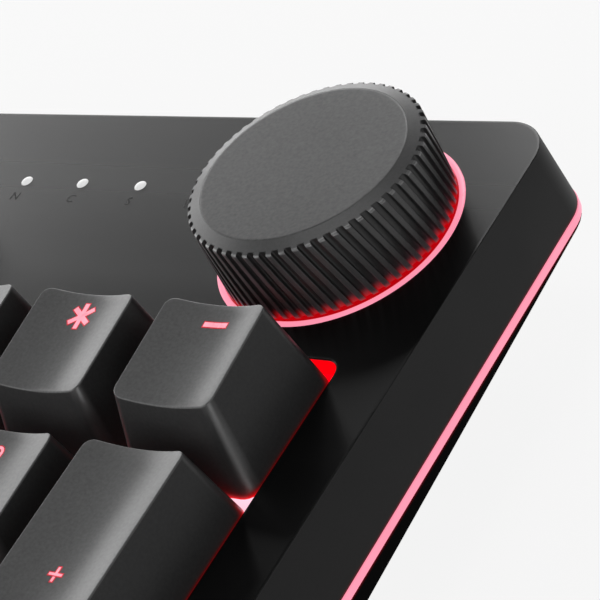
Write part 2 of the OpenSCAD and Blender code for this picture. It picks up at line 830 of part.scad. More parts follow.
// One cap as a hollow shell. Each ring of points runs along the front edge to the right, then back along
// the rear edge, and pairs of points with the same x span the strips of the hollow top.
function columns(half, r) =
    let (turn = [for (j = [0:corner_steps]) 90 * j / corner_steps])
    concat(
        [for (a = turn) [-half + r * (1 - cos(a)), r * (1 - sin(a))]],
        [for (i = [1:dish_steps]) [(half - r) * (2 * i / (dish_steps + 1) - 1), 0]],
        [for (j = [corner_steps:-1:0]) [half - r * (1 - cos(turn[j])), r * (1 - sin(turn[j]))]]
    );
function ring_height(x, y, half, front, rear, z_front, z_rear, dish) =
    z_front + (z_rear - z_front) * (y - front) / (rear - front) - dish * (1 - pow(x / half, 2));
function cap_ring(half, front, rear, r, z_front, z_rear, dish) =
    let (c = columns(half, r), last = len(c) - 1)
    [for (i = [0:2 * last + 1])
        let (p = i <= last ? c[i] : c[2 * last + 1 - i], y = i <= last ? front + p[1] : rear - p[1])
        [p[0], y, ring_height(p[0], y, half, front, rear, z_front, z_rear, dish)]];
function cap_box(half, front, rear, z) =
    [[-half, front, z], [half, front, z], [half, rear, z], [-half, rear, z]];
// Triangles of a wall between two rings of n points, and of the strips of a top
function wall_faces(a, b, n) =
    [for (i = [0:n - 1], upper = [true, false])
        let (j = (i + 1) % n)
        upper ? [a + i, b + i, b + j] : [a + i, b + j, a + j]];
function lid_faces(a, n) =
    [for (c = [0:n / 2 - 2], near = [true, false])
        near ? [a + c, a + n - 1 - c, a + n - 2 - c] : [a + c, a + n - 2 - c, a + c + 1]];
// Triangles of the lower edge, from a ring of n points to the four inner corners that start at b
function rim_faces(a, n, b) =
    let (corner = [for (i = [0:n - 1]) floor(4 * i / n)])
    concat(
        [for (i = [0:n - 1]) [a + i, a + (i + 1) % n, b + corner[i]]],
        [for (i = [0:n - 1])
            let (j = (i + 1) % n)
            if (corner[i] != corner[j]) [a + j, b + corner[j], b + corner[i]]]
    );
function turned(faces) = [for (f = faces) [f[0], f[2], f[1]]];
function cap_ceiling(k) = min(cap_rear_z[k[4]], cap_front_z[k[4]]) - max(k[5], 0) - cap_top_t;

module cap_shell(k) {
    half = (k[2] * key_pitch - cap_gap) / 2;
    deep = (k[3] * key_pitch - cap_gap) / 2;
    top_half = half - cap_side_in;
    top_front = -deep + cap_front_in;
    top_rear = deep - cap_rear_in;
    thin = cap_wall / 2;
    outer = cap_ring(half, -deep, deep, cap_base_r, -cap_sink, -cap_sink, 0);
    top = cap_ring(top_half, top_front, top_rear, cap_top_r, cap_front_z[k[4]], cap_rear_z[k[4]], k[5]);
    mouth = cap_box(half - cap_wall, -deep + cap_wall, deep - cap_wall, -cap_sink);
    ceiling = cap_box(top_half - thin, top_front + thin, top_rear - thin, cap_ceiling(k));
    n = len(outer);
    inner = 2 * n;
    polyhedron(
        points = concat(outer, top, mouth, ceiling),
        faces = concat(
            wall_faces(0, n, n), lid_faces(n, n), rim_faces(0, n, inner),
            turned(wall_faces(inner, inner + 4, 4)), turned(lid_faces(inner + 4, 4))
        )
    );
}

module cross(length, arm) {
    square([length, arm], center = true);
    square([arm, length], center = true);
}

module keycap(k) {
    cap_shell(k);
    between(neck_z + fit, cap_ceiling(k) + cap_top_t / 2) difference() {
        circle(d = boss_d, $fn = 8);
        cross(stem_cross + 2 * fit, stem_arm + 2 * fit);
    }
}

module stem() {
    rim_z = stem_ceiling - stem_rest;
    union() {
        between(neck_z, neck_z + stem_cross_h) cross(stem_cross, stem_arm);
        block(stem_w, stem_d, stem_low, neck_z);
        block(stem_w + 2 * stem_rim, stem_d + 2 * stem_rim, rim_z - stem_rim, rim_z);
    }
}

module keys(list) {
    on_deck() for (k = list) translate([k[0], k[1], 0]) {
        color("#2f2f31") keycap(k);
        color("#a8232b") stem();
    }
}

module pad_key(name) {
    keys([for (i = [0:len(pad_layout) - 1]) if (pad_layout[i][0] == name) pad_keys[i]]);
}

top_case();
bottom_case();
side_light_strip();
switch_plate();
circuit_board();
switch_bases();
switch_tops();
switch_springs();
backlight_leds();
edge_leds();
controller_chip();
usb_socket();
indicator_lenses();
knob_light_ring();
encoder_body();
encoder_nut();
encoder_rotor();
encoder_shaft();
knob_body();
knob_top_disc();
plate_screws();
case_screws();
rubber_feet();
foot_hinge_pins();
tilt_foot(-1);  // left_tilt_foot
tilt_foot(1);  // right_tilt_foot
foot_tip(-1);  // left_foot_tip
foot_tip(1);  // right_foot_tip
keys(function_keys);  // function_row_keys
keys(system_keys);  // system_keys_group
keys(number_keys);  // number_row_keys
keys(top_letter_keys);  // top_letter_row_keys
keys(home_keys);  // home_row_keys
keys(shift_keys);  // shift_row_keys
keys(bottom_keys);  // bottom_row_keys
keys(navigation_keys);  // navigation_keys_group
keys(arrow_keys);  // arrow_keys_group
pad_key("key_num_lock");  // key_num_lock
pad_key("key_divide");  // key_divide
pad_key("key_multiply");  // key_multiply
pad_key("key_subtract");  // key_subtract
pad_key("key_7");  // key_7
pad_key("key_8");  // key_8
pad_key("key_9");  // key_9
pad_key("key_add");  // key_add
pad_key("key_4");  // key_4
pad_key("key_5");  // key_5
pad_key("key_6");  // key_6
pad_key("key_1");  // key_1
pad_key("key_2");  // key_2
pad_key("key_3");  // key_3
pad_key("key_enter");  // key_enter
pad_key("key_0");  // key_0
pad_key("key_decimal");  // key_decimal
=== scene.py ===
import math

import bmesh
import bpy
from mathutils import Matrix, Vector


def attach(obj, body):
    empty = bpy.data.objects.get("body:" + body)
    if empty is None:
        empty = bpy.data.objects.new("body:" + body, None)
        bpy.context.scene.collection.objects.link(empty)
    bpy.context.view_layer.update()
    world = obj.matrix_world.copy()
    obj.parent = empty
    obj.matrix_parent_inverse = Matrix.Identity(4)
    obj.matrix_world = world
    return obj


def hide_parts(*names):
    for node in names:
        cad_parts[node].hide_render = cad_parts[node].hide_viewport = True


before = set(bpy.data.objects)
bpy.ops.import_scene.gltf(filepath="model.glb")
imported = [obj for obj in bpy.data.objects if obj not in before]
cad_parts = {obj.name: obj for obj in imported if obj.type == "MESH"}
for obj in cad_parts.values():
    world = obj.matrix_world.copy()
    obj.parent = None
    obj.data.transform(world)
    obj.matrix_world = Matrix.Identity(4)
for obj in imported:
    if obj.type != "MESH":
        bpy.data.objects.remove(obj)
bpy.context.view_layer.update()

# Sizes in millimetres, in the frame of the sloping deck: z is 0 on the deck
PITCH = 19.05
COLUMNS_U = 22.5
ROWS_U = 6.5
MARGIN = 7.9
REAR_MARGIN = 12.6
LAYOUT_W = COLUMNS_U * PITCH
CASE_W = LAYOUT_W + 2 * MARGIN
CASE_D = MARGIN + ROWS_U * PITCH + REAR_MARGIN
CORNER_R = 6.3
WALL_H = 10.35
STRIP_H = 1.0
WALL_T = 2.2
FLARE = 0.75
DECK_T = 2.5
EDGE_R = 0.22
OUTER_EDGE_R = 0.1
LOW_EDGE = 0.15
# Flat margin beside a round edge, which keeps the shading of the flat face even
FLAT_EDGE = 0.3
# Inset of the middle of a quarter round, as a share of its radius
ROUND_IN = 0.3
TILT = math.radians(3)
# Switch posts: their lower end over the desk at the front, and their depth under the deck
POST_LOW = 4.4
POST_DROP = 15.2
DECK_H = POST_LOW + CASE_D / 2 * math.sin(TILT) + POST_DROP * math.cos(TILT)
MIDDLE_Y = (WALL_H + STRIP_H / 2) * math.sin(TILT)
MM = 0.001
DECK = (
    Matrix.Translation((0, -MIDDLE_Y * MM, DECK_H * MM))
    @ Matrix.Rotation(TILT, 4, "X")
    @ Matrix.Scale(MM, 4)
)
TURN = DECK.to_3x3().normalized()
DECK_UP = TURN @ Vector((0, 0, 1))

# Places: the number row, the last column, and the first units of the blocks of keys
NUMBER_U = 4.5
NUMBER_Y = -CASE_D / 2 + MARGIN + NUMBER_U * PITCH
LAST_X = LAYOUT_W / 2 - PITCH / 2
FUNCTION_ROW = -1.5
NAV_U = 15.25
PAD_U = 18.5

# Knob and its light ring
KNOB_X = LAST_X - 3.01
KNOB_Y = NUMBER_Y + 30.94
KNOB_R = 15.0
KNOB_TOP = 10.8
KNOB_BOTTOM = 0.25
RIM_DROP = 0.6
RIM_EDGE = 0.25
DISC_R = 13.05
DISC_T = 1.0
DISC_PLAY = 0.02
DISC_EDGE = 0.02
GROOVES = 58
GROOVE_W = 0.9
GROOVE_DEPTH = 0.55
GROOVE_SLANT = math.radians(14.5)
GROOVE_EDGE = 0.07
GROOVE_LIP = 0.05
KNOB_HOLLOW_R = 12.5
KNOB_HOLLOW_Z = 4.2
HUB_R = 5.5
HUB_Z = 3.4
BORE_R = 3.05
BORE_Z = 8.4
NECK_HOLE_R = 3.8
RING_R = 15.84
RING_RIM = 0.76
RING_INNER = 3.55
RING_SEAT = 1.4
RING_TOP = 0.1
RING_SHELF = 0.8
RING_EDGE = 0.05
RING_PLAY = 0.05
RING_STEPS = 128
SEAT_STEPS = 96

# Lenses with their letters, the lit plate under the keys and the inlet slot in the rear wall
LENS_LETTERS = "NCSW"
LENS_X = LAST_X - 59.6
LENS_Y = NUMBER_Y + 37.1
LENS_PITCH = 10.3
LENS_R = 0.85
LENS_LOW = 0.02
LENS_DOME = 0.28
LENS_STEPS = 32
GLYPH_Y = NUMBER_Y + 34.1
GLYPH_SIZE = 2.0
GLYPH_LIFT = 0.02
PLATE_Z = -7
SLOT_X = -120
SLOT_W = 9.44
SLOT_TOP = -8.55

# Keycaps: first the heights of the rear and front top edges, for the four shapes of caps
CAP_REAR_Z = [12.05, 9.7, 8.7, 8.9]
CAP_FRONT_Z = [10.67, 8.9, 8.6, 9.5]
CAP_BASE = 18.1
CAP_SINK = 0.8
CAP_SIDE_IN = 2.05
CAP_REAR_IN = 1.47
CAP_FRONT_IN = 2.84
CAP_BASE_R = 2.0
CAP_TOP_R = 1.3
CAP_DISH = 0.9
SPACE_CROWN = -0.5
CAP_EDGE = 0.16
CAP_SHOULDER = 1.2 * CAP_EDGE
CAP_WALL = 1.2
CAP_MOUTH_R = 1.0
CAP_TOP_T = 1.6
CAP_ROOF_IN = 0.6
# Slider of a switch and the two bars of its cross: width, depth, lower and upper height
STEM_BOXES = [(6, 7, -6, -0.6), (4, 1.2, -0.6, 3), (1.2, 4, -0.6, 3)]
STEM_EDGE = 0.1


def lerp(a, b, t):
    return a + (b - a) * t


# Shares of the way round a bend
BENDS = (0.0, 0.25, 0.5, 0.75, 1.0)


def bend(a, b, c, t):
    """Point on a round bend from a to c whose corner is at b."""
    return tuple(Vector(a) * (1 - t) ** 2 + Vector(b) * 2 * t * (1 - t) + Vector(c) * t * t)


def link(obj):
    bpy.context.scene.collection.objects.link(obj)
    return obj


def make_piece(name, verts, faces, body, materials, face_slots=None, smooth_deg=35):
    """Mesh object from points in the deck's frame, riding on a body."""
    mesh = bpy.data.meshes.new(name)
    mesh.from_pydata(verts, [], faces)
    for material in materials:
        mesh.materials.append(material)
    if face_slots:
        mesh.polygons.foreach_set("material_index", face_slots)
    mesh.transform(DECK)
    mesh.shade_smooth()
    mesh.set_sharp_from_angle(angle=math.radians(smooth_deg))
    obj = link(bpy.data.objects.new(name, mesh))
    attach(obj, body)
    return obj


# Materials
def new_material(name):
    material = bpy.data.materials.new(name)
    material.use_nodes = True
    tree = material.node_tree
    tree.nodes.clear()
    out = tree.nodes.new("ShaderNodeOutputMaterial")
    return material, tree, out


def coordinates(tree, scale):
    coord = tree.nodes.new("ShaderNodeTexCoord")
    mapping = tree.nodes.new("ShaderNodeMapping")
    mapping.inputs["Scale"].default_value = scale
    tree.links.new(coord.outputs["Object"], mapping.inputs["Vector"])
    return mapping.outputs["Vector"]


def noise(tree, vector, scale, detail=2.0):
    node = tree.nodes.new("ShaderNodeTexNoise")
    node.inputs["Scale"].default_value = scale
    node.inputs["Detail"].default_value = detail
    tree.links.new(vector, node.inputs["Vector"])
    return node.outputs["Fac"]


# Noise lies mostly between these values
NOISE_LOW = 0.3
NOISE_HIGH = 0.7


def ranged(tree, value, low, high):
    """A value that varies as noise does, stretched to run from low to high."""
    node = tree.nodes.new("ShaderNodeMapRange")
    node.inputs["From Min"].default_value = NOISE_LOW
    node.inputs["From Max"].default_value = NOISE_HIGH
    node.inputs["To Min"].default_value = low
    node.inputs["To Max"].default_value = high
    tree.links.new(value, node.inputs["Value"])
    return node.outputs["Result"]


def mixed(tree, factor, a, b):
    node = tree.nodes.new("ShaderNodeMix")
    node.data_type = "RGBA"
    node.inputs["A"].default_value = (*a, 1)
    node.inputs["B"].default_value = (*b, 1)
    tree.links.new(factor, node.inputs["Factor"])
    return node.outputs["Result"]


def vector_math(tree, operation, value, other=(0, 0, 0)):
    node = tree.nodes.new("ShaderNodeVectorMath")
    node.operation = operation
    node.inputs[1].default_value = other
    tree.links.new(value, node.inputs[0])
    return node


def from_point(tree, point):
    """Where a surface lies, as seen from a point of the object."""
    coord = tree.nodes.new("ShaderNodeTexCoord")
    return vector_math(tree, "SUBTRACT", coord.outputs["Object"], point).outputs["Vector"]


def ramp_mm(tree, value, low, high, curve="LINEAR"):
    """0 where a length is low millimetres and 1 where it is high."""
    ramp = tree.nodes.new("ShaderNodeMapRange")
    ramp.interpolation_type = curve
    ramp.inputs["From Min"].default_value = low * MM
    ramp.inputs["From Max"].default_value = high * MM
    tree.links.new(value, ramp.inputs["Value"])
    return ramp.outputs["Result"]


def level(tree, low, high, curve="SMOOTHSTEP"):
    """0 at one height over the deck and 1 at another."""
    height = vector_math(tree, "DOT_PRODUCT", from_point(tree, DECK.translation), DECK_UP)
    return ramp_mm(tree, height.outputs["Value"], low, high, curve)


# Stains are so many times broader than the grain, and change the roughness by so much
STAIN_SCALE = 40
ROUGH_SPREAD = 0.04


def grained(name, color, rough, grain=2500.0, stretch=(1, 1, 1), bump=0.05, depth=2e-5, specular=0.5,
            metallic=0.0, spread=0.25, foot=None, edge_specular=None):
    """Moulded or blasted surface: fine grain in the bump and the colour, broad stains in the roughness.

    With foot, two heights, a colour and a power, painted light glows on the surface at the first height and
    fades
    towards the second: an emission in place of the red light of lit parts nearby. With edge_specular, the
    mesh's own edge values make it glossier.
    """
    material, tree, out = new_material(name)
    shader = tree.nodes.new("ShaderNodeBsdfPrincipled")
    shader.inputs["Specular IOR Level"].default_value = specular
    shader.inputs["Metallic"].default_value = metallic
    vector = coordinates(tree, stretch)
    fine = noise(tree, vector, grain)
    broad = noise(tree, vector, grain / STAIN_SCALE, 3.0)
    dark = tuple(c * (1 - spread) for c in color)
    light = tuple(c * (1 + spread) for c in color)
    tree.links.new(mixed(tree, fine, dark, light), shader.inputs["Base Color"])
    roughness = ranged(tree, broad, rough - ROUGH_SPREAD, rough + ROUGH_SPREAD)
    tree.links.new(roughness, shader.inputs["Roughness"])
    bumps = tree.nodes.new("ShaderNodeBump")
    bumps.inputs["Strength"].default_value = bump
    bumps.inputs["Distance"].default_value = depth
    tree.links.new(fine, bumps.inputs["Height"])
    tree.links.new(bumps.outputs["Normal"], shader.inputs["Normal"])
    if edge_specular:
        edge = tree.nodes.new("ShaderNodeAttribute")
        edge.attribute_name = "edge"
        gloss = tree.nodes.new("ShaderNodeMapRange")
        gloss.inputs["To Min"].default_value = specular
        gloss.inputs["To Max"].default_value = edge_specular
        tree.links.new(edge.outputs["Fac"], gloss.inputs["Value"])
        tree.links.new(gloss.outputs["Result"], shader.inputs["Specular IOR Level"])
    # Painted light: emission near the foot that stands for light from lit parts nearby
    if foot:
        shader.inputs["Emission Strength"].default_value = 1.0
        low, high, glow, power = foot
        fade = tree.nodes.new("ShaderNodeMath")
        fade.operation = "POWER"
        fade.inputs[1].default_value = power
        tree.links.new(level(tree, high, low, "LINEAR"), fade.inputs[0])
        tree.links.new(mixed(tree, fade.outputs["Value"], (0, 0, 0), glow), shader.inputs["Emission Color"])
    tree.links.new(shader.outputs["BSDF"], out.inputs["Surface"])
    return material


def painted_shade_by_facing(name, color, under_color, rough, specular, under_specular, foot):
    """Moulded surface painted near-black and almost glossless on its sides and tops as painted shade, with
    its own colour and gloss where it faces down.
    """
    material = grained(name, under_color, rough, specular=specular, foot=foot)
    tree = material.node_tree
    shader = tree.nodes["Principled BSDF"]
    coord = tree.nodes.new("ShaderNodeTexCoord")
    down = vector_math(tree, "DOT_PRODUCT", coord.outputs["Normal"], (0, 0, -1))
    gloss = ranged(tree, down.outputs["Value"], specular, under_specular)
    tree.links.new(gloss, shader.inputs["Specular IOR Level"])
    mix = tree.nodes.new("ShaderNodeMix")
    mix.data_type = "RGBA"
    mix.inputs["A"].default_value = (*color, 1)
    tree.links.new(ranged(tree, down.outputs["Value"], 0.0, 1.0), mix.inputs["Factor"])
    tree.links.new(shader.inputs["Base Color"].links[0].from_socket, mix.inputs["B"])
    tree.links.new(mix.outputs["Result"], shader.inputs["Base Color"])
    return material


# Lit plastic: its own colour as a share of its light, and its roughness
GLOW_BASE = 0.1
GLOW_ROUGH = (0.25, 0.35)


def glowing(name, color, strength, spread=0.06, scale=150.0, specular=0.5):
    """Lit clear plastic: a gloss surface that shines, a little unevenly along its length."""
    material, tree, out = new_material(name)
    shader = tree.nodes.new("ShaderNodeBsdfPrincipled")
    shader.inputs["Base Color"].default_value = (*(c * GLOW_BASE for c in color), 1)
    shader.inputs["Emission Color"].default_value = (*color, 1)
    shader.inputs["Specular IOR Level"].default_value = specular
    vector = coordinates(tree, (1, 1, 1))
    uneven = noise(tree, vector, scale)
    tree.links.new(ranged(tree, uneven, strength * (1 - spread), strength * (1 + spread)),
                   shader.inputs["Emission Strength"])
    tree.links.new(ranged(tree, uneven, *GLOW_ROUGH), shader.inputs["Roughness"])
    tree.links.new(shader.outputs["BSDF"], out.inputs["Surface"])
    return material


def level_glow(name, low_color, high_color, low, high):
    """Lit plastic whose glow changes colour from one height to another."""
    material = glowing(name, low_color, 1.0)
    tree = material.node_tree
    shader = tree.nodes["Principled BSDF"]
    color = mixed(tree, level(tree, low, high), low_color, high_color)
    tree.links.new(color, shader.inputs["Emission Color"])
    return material


def ring_glow(name, inner, outer, edge_r, blur=0.08):
    """Light guide whose glow goes from one colour to another at a radius round the knob's axis."""
    material = glowing(name, outer, 1.0)
    tree = material.node_tree
    shader = tree.nodes["Principled BSDF"]
    place = from_point(tree, DECK @ Vector((KNOB_X, KNOB_Y, 0)))
    cross = vector_math(tree, "CROSS_PRODUCT", place, DECK_UP)
    radius = vector_math(tree, "LENGTH", cross.outputs["Vector"])
    ramp = ramp_mm(tree, radius.outputs["Value"], edge_r - blur, edge_r + blur)
    tree.links.new(mixed(tree, ramp, inner, outer), shader.inputs["Emission Color"])
    return material


PINK = (1.0, 0.30, 0.42)
PALE_PINK = (1.0, 0.62, 0.74)
RED = (1.0, 0.0, 0.004)
DIM_RED = (0.42, 0.0, 0.002)
DARK_RED = (0.16, 0.0, 0.004)
NEAR_BLACK = (0.003, 0.003, 0.0031)
deck_paint = grained("deck_paint", NEAR_BLACK, 0.24, 3000, (0.03, 1, 1), 0.10)
# The outer wall: its foot carries painted red light from the glowing side strip just below it
wall_painted_foot_light = grained("wall_painted_foot_light", (0.008, 0.008, 0.0081), 0.42, 2600, bump=0.08, specular=0.25,
                     foot=(0.1 - WALL_H, 0.5 - WALL_H, DARK_RED, 1.5))
# Cap plastic in two copies: tops painted lighter as painted light, sides painted darker as painted shade.
# The sides also carry painted red light from the wells at their foot, and glossier corners.
cap_tops_painted_light = grained("cap_tops_painted_light", (0.135, 0.135, 0.1355), 0.24, 2600, bump=0.10, specular=0.4)
cap_sides_painted_shade_and_light = grained("cap_sides_painted_shade_and_light", (0.048, 0.048, 0.0484), 0.33, 2600, bump=0.10, specular=0.22,
                    foot=(-0.78, 0.5, RED, 6), edge_specular=1.0)
stem_plastic = grained("stem_plastic", (0.25, 0.01, 0.012), 0.4)
# Knob: red light from the ring is painted at the foot of the body and of its grooves
knob_metal_painted_foot_light = grained("knob_metal_painted_foot_light", (0.08, 0.08, 0.0805), 0.36, 3000, bump=0.08,
                     foot=(KNOB_BOTTOM, KNOB_BOTTOM + 0.8, DIM_RED, 2))
# The grooves are painted darker than the ribs as painted shade in the recesses
groove_painted_shade_and_light = grained("groove_painted_shade_and_light", (0.03, 0.03, 0.0302), 0.35, 3000, bump=0.08,
                       foot=(KNOB_BOTTOM, KNOB_BOTTOM + 1.4, DIM_RED, 2))
# The rounded rim edge is painted lighter than the body as a painted highlight, and is glossier
rim_painted_highlight = grained("rim_painted_highlight", (0.2, 0.2, 0.201), 0.25, 3000, bump=0.05, specular=1.0)
disc_metal = grained("disc_metal", (0.083, 0.083, 0.0834), 0.32, 2200, bump=0.25, depth=4e-5, spread=0.5)
# Bottom case and tilt feet: painted shade on their sides, and painted red light from the side strip along
# the band's top edge
under_plastic_painted_shade_and_light = painted_shade_by_facing("under_plastic_painted_shade_and_light", NEAR_BLACK, (0.02, 0.02, 0.0203), 0.6, 0.02, 0.4,
                         foot=(-WALL_H - STRIP_H, -WALL_H - STRIP_H - 0.5, DARK_RED, 1.5))
print_ink = grained("print_ink", (0.001, 0.001, 0.001), 0.6)
rubber = grained("rubber", (0.01, 0.01, 0.01), 0.7, 1500, bump=0.3)
steel = grained("steel", (0.45, 0.46, 0.48), 0.3, 2000, metallic=1.0)
switch_plastic = grained("switch_plastic", (0.01, 0.01, 0.01), 0.4)
board_fibre = grained("board_fibre", (0.01, 0.03, 0.018), 0.5)
# The switch plate's red glow is painted light from the LEDs under it
plate_painted_light = glowing("plate_painted_light", RED, 1.6, spread=0.3, scale=80)
# The wells' walls belong to the case: their red glow is painted light from the lit plate below
well_painted_light = glowing("well_painted_light", RED, 1.0, spread=0.1, scale=300, specular=0.0)
switch_glow = level_glow("switch_glow", PALE_PINK, RED, PLATE_Z + 2, PLATE_Z + 5)
strip_glow = glowing("strip_glow", PINK, 1.0)
legend_glow = glowing("legend_glow", (1.0, 0.38, 0.47), 1.0, spread=0.1, scale=900)
legend_edge = glowing("legend_edge", (0.75, 0.01, 0.03), 0.8, spread=0.15, scale=900)
lens_white = glowing("lens_white", (0.76, 0.76, 0.76), 0.85, spread=0.05, scale=900)
led_white = glowing("led_white", (1.0, 0.5, 0.6), 2.0)
# The guide glows pink on its rim; the shelf inside glows dim red, its own light dimmed as painted shade
# under the knob
ring_light_painted_shelf_shade = ring_glow("ring_light_painted_shelf_shade", DIM_RED, PINK, RING_R - RING_RIM)

# Looks of the solids that show as they are
NODE_LOOKS = {
    "bottom_case": under_plastic_painted_shade_and_light, "side_light_strip": strip_glow, "switch_plate": plate_painted_light,
    "circuit_board": board_fibre, "switch_bases": switch_plastic, "switch_tops": switch_glow,
    "switch_springs": steel, "backlight_leds": led_white, "edge_leds": led_white,
    "controller_chip": switch_plastic, "usb_socket": steel, "encoder_body": steel, "encoder_nut": steel,
    "encoder_rotor": switch_plastic, "encoder_shaft": steel, "plate_screws": steel, "case_screws": steel,
    "rubber_feet": rubber, "foot_hinge_pins": steel, "left_tilt_foot": under_plastic_painted_shade_and_light,
    "right_tilt_foot": under_plastic_painted_shade_and_light, "left_foot_tip": rubber, "right_foot_tip": rubber,
}
for node, look in NODE_LOOKS.items():
    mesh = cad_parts[node].data
    mesh.materials.clear()
    mesh.materials.append(look)


# Outlines: closed loops of (x, y), all with the same number of points for the same arguments
def rounded_loop(corners, radii, steps):
    """Loop round an anticlockwise polygon of right angles, each corner with its radius."""
    loop = []
    n = len(corners)
    for i in range(n):
        before, here, after = (Vector(corners[j % n]) for j in (i - 1, i, i + 1))
        a = (before - here).normalized()
        b = (after - here).normalized()
        centre = here + (a + b) * radii[i]
        for k in range(steps + 1):
            t = math.pi / 2 * k / steps
            loop.append(tuple(centre - b * radii[i] * math.cos(t) - a * radii[i] * math.sin(t)))
    return loop


def grown(corners, grow):
    """The polygon with every edge moved out by grow."""
    moved = []
    n = len(corners)
    for i in range(n):
        before, here, after = (Vector(corners[j % n]) for j in (i - 1, i, i + 1))
        a = (here - before).normalized()
        b = (after - here).normalized()
        moved.append(tuple(here + Vector((a.y + b.y, -a.x - b.x)) * grow))
    return moved


def rectangle(x0, y0, x1, y1):
    return [(x0, y0), (x1, y0), (x1, y1), (x0, y1)]


def row_y(row):
    return NUMBER_Y - row * PITCH


def key_x(u):
    return -LAYOUT_W / 2 + u * PITCH


# Keycaps: steps along a loop, and shares of the way up the sides and out from the middle of the top
CORNER_STEPS = 6
SIDE_STEPS = 10
UP_SHARES = (0.33, 0.66, 1.0)
TOP_SHARES = (0.86, 0.7, 0.54, 0.38, 0.22, 0.08)


def cap_loop(half, front, rear, r):
    """Rounded rectangle with extra points along its sides, so that the hollow top bends smoothly."""
    loop = []
    x, low, high = half - r, front + r, rear - r
    turns = [(x, low, -90), (x, high, 0), (-x, high, 90), (-x, low, 180)]
    for i, (cx, cy, start) in enumerate(turns):
        for k in range(CORNER_STEPS + 1):
            a = math.radians(start + 90 * k / CORNER_STEPS)
            loop.append((cx + r * math.cos(a), cy + r * math.sin(a)))
        nx, ny, begin = turns[(i + 1) % 4]
        a = math.radians(begin)
        last = loop[-1]
        nxt = (nx + r * math.cos(a), ny + r * math.sin(a))
        for k in range(1, SIDE_STEPS):
            t = k / SIDE_STEPS
            loop.append((lerp(last[0], nxt[0], t), lerp(last[1], nxt[1], t)))
    return loop


def corner_weight(i):
    """1 in the middle of a corner of a cap_loop, 0 along its sides."""
    k = i % (CORNER_STEPS + SIDE_STEPS)
    return math.sin(math.pi * k / CORNER_STEPS) if k < CORNER_STEPS else 0.0


class Cap:
    """Shape of one cap about its own key's centre."""

    def __init__(self, wide, deep, profile, dish):
        self.half = (wide * PITCH - PITCH + CAP_BASE) / 2
        self.deep = (deep * PITCH - PITCH + CAP_BASE) / 2
        self.top_half = self.half - CAP_SIDE_IN
        self.front = -self.deep + CAP_FRONT_IN
        self.rear = self.deep - CAP_REAR_IN
        self.z_front = CAP_FRONT_Z[profile]
        self.z_rear = CAP_REAR_Z[profile]
        self.dish = dish

    def top(self, x, y):
        slope = (self.z_rear - self.z_front) * (y - self.front) / (self.rear - self.front)
        return self.z_front + slope - self.dish * (1 - (x / self.top_half) ** 2)

    def base_ring(self, inset, r):
        loop = cap_loop(self.half - inset, -self.deep + inset, self.deep - inset, r)
        return [(x, y, -CAP_SINK) for x, y in loop]

    def top_loop(self, inset, r):
        return cap_loop(self.top_half - inset, self.front + inset, self.rear - inset, r)

    def build(self):
        """Points, faces, material slots and edge weights of the hollow cap."""
        foot = self.base_ring(0, CAP_BASE_R)
        edge = [(x, y, self.top(x, y)) for x, y in self.top_loop(0, CAP_TOP_R)]
        inner = [(x, y, self.top(x, y)) for x, y in self.top_loop(CAP_EDGE, CAP_TOP_R - CAP_EDGE)]
        n = len(foot)
        centre_y = (self.front + self.rear) / 2
        roof_z = min(self.z_front, self.z_rear) - max(self.dish, 0) - CAP_TOP_T
        roof = [(x, y, roof_z) for x, y in self.top_loop(CAP_ROOF_IN, CAP_ROOF_IN)]
        rings = [roof, self.base_ring(CAP_WALL, CAP_MOUTH_R), foot]
        shoulder = []
        for e, f in zip(edge, foot):
            down = (Vector(f) - Vector(e)).normalized()
            shoulder.append(tuple(Vector(e) + down * CAP_SHOULDER))
        for t in UP_SHARES:
            rings.append([tuple(Vector(f).lerp(Vector(s), t)) for f, s in zip(foot, shoulder)])
        edge_ring = len(rings) - 1
        for t in BENDS[1:]:
            rings.append([bend(a, b, c, t) for a, b, c in zip(shoulder, edge, inner)])
        for t in TOP_SHARES:
            ring = []
            for x, y, _ in inner:
                px, py = x * t, centre_y + (y - centre_y) * t
                ring.append((px, py, self.top(px, py)))
            rings.append(ring)
        verts = [p for ring in rings for p in ring]
        faces, slots = [], []
        for a in range(len(rings) - 1):
            for i in range(n):
                j = (i + 1) % n
                faces.append((a * n + i, a * n + j, (a + 1) * n + j, (a + 1) * n + i))
                # Slot 2, the top and its rounded edge, takes the lighter copy with painted light; slot 0,
                # the sides and inside, takes the darker copy with painted shade
                slots.append(2 if a >= edge_ring else 0)
        last = (len(rings) - 1) * n
        faces.append(tuple(last + i for i in range(n)))
        faces.append(tuple(n - 1 - i for i in range(n)))
        slots += [2, 0]
        return verts, faces, slots, [corner_weight(i) for i in range(n)] * len(rings)


def stem_shape():
    """Slider with its cross, inside the cap."""
    verts, faces = [], []
    for w, d, low, high in STEM_BOXES:
        start = len(verts)
        for z, inset in ((low, STEM_EDGE), (low + STEM_EDGE, 0), (high - STEM_EDGE, 0), (high, STEM_EDGE)):
            for x, y in rectangle(-w / 2 + inset, -d / 2 + inset, w / 2 - inset, d / 2 - inset):
                verts.append((x, y, z))
        for step in range(3):
            a = start + step * 4
            for i in range(4):
                j = (i + 1) % 4
                faces.append((a + i, a + j, a + 4 + j, a + 4 + i))
        faces.append(tuple(start + i for i in (3, 2, 1, 0)))
        faces.append(tuple(start + 12 + i for i in range(4)))
    return verts, faces, [1] * len(faces), [0.0] * len(verts)


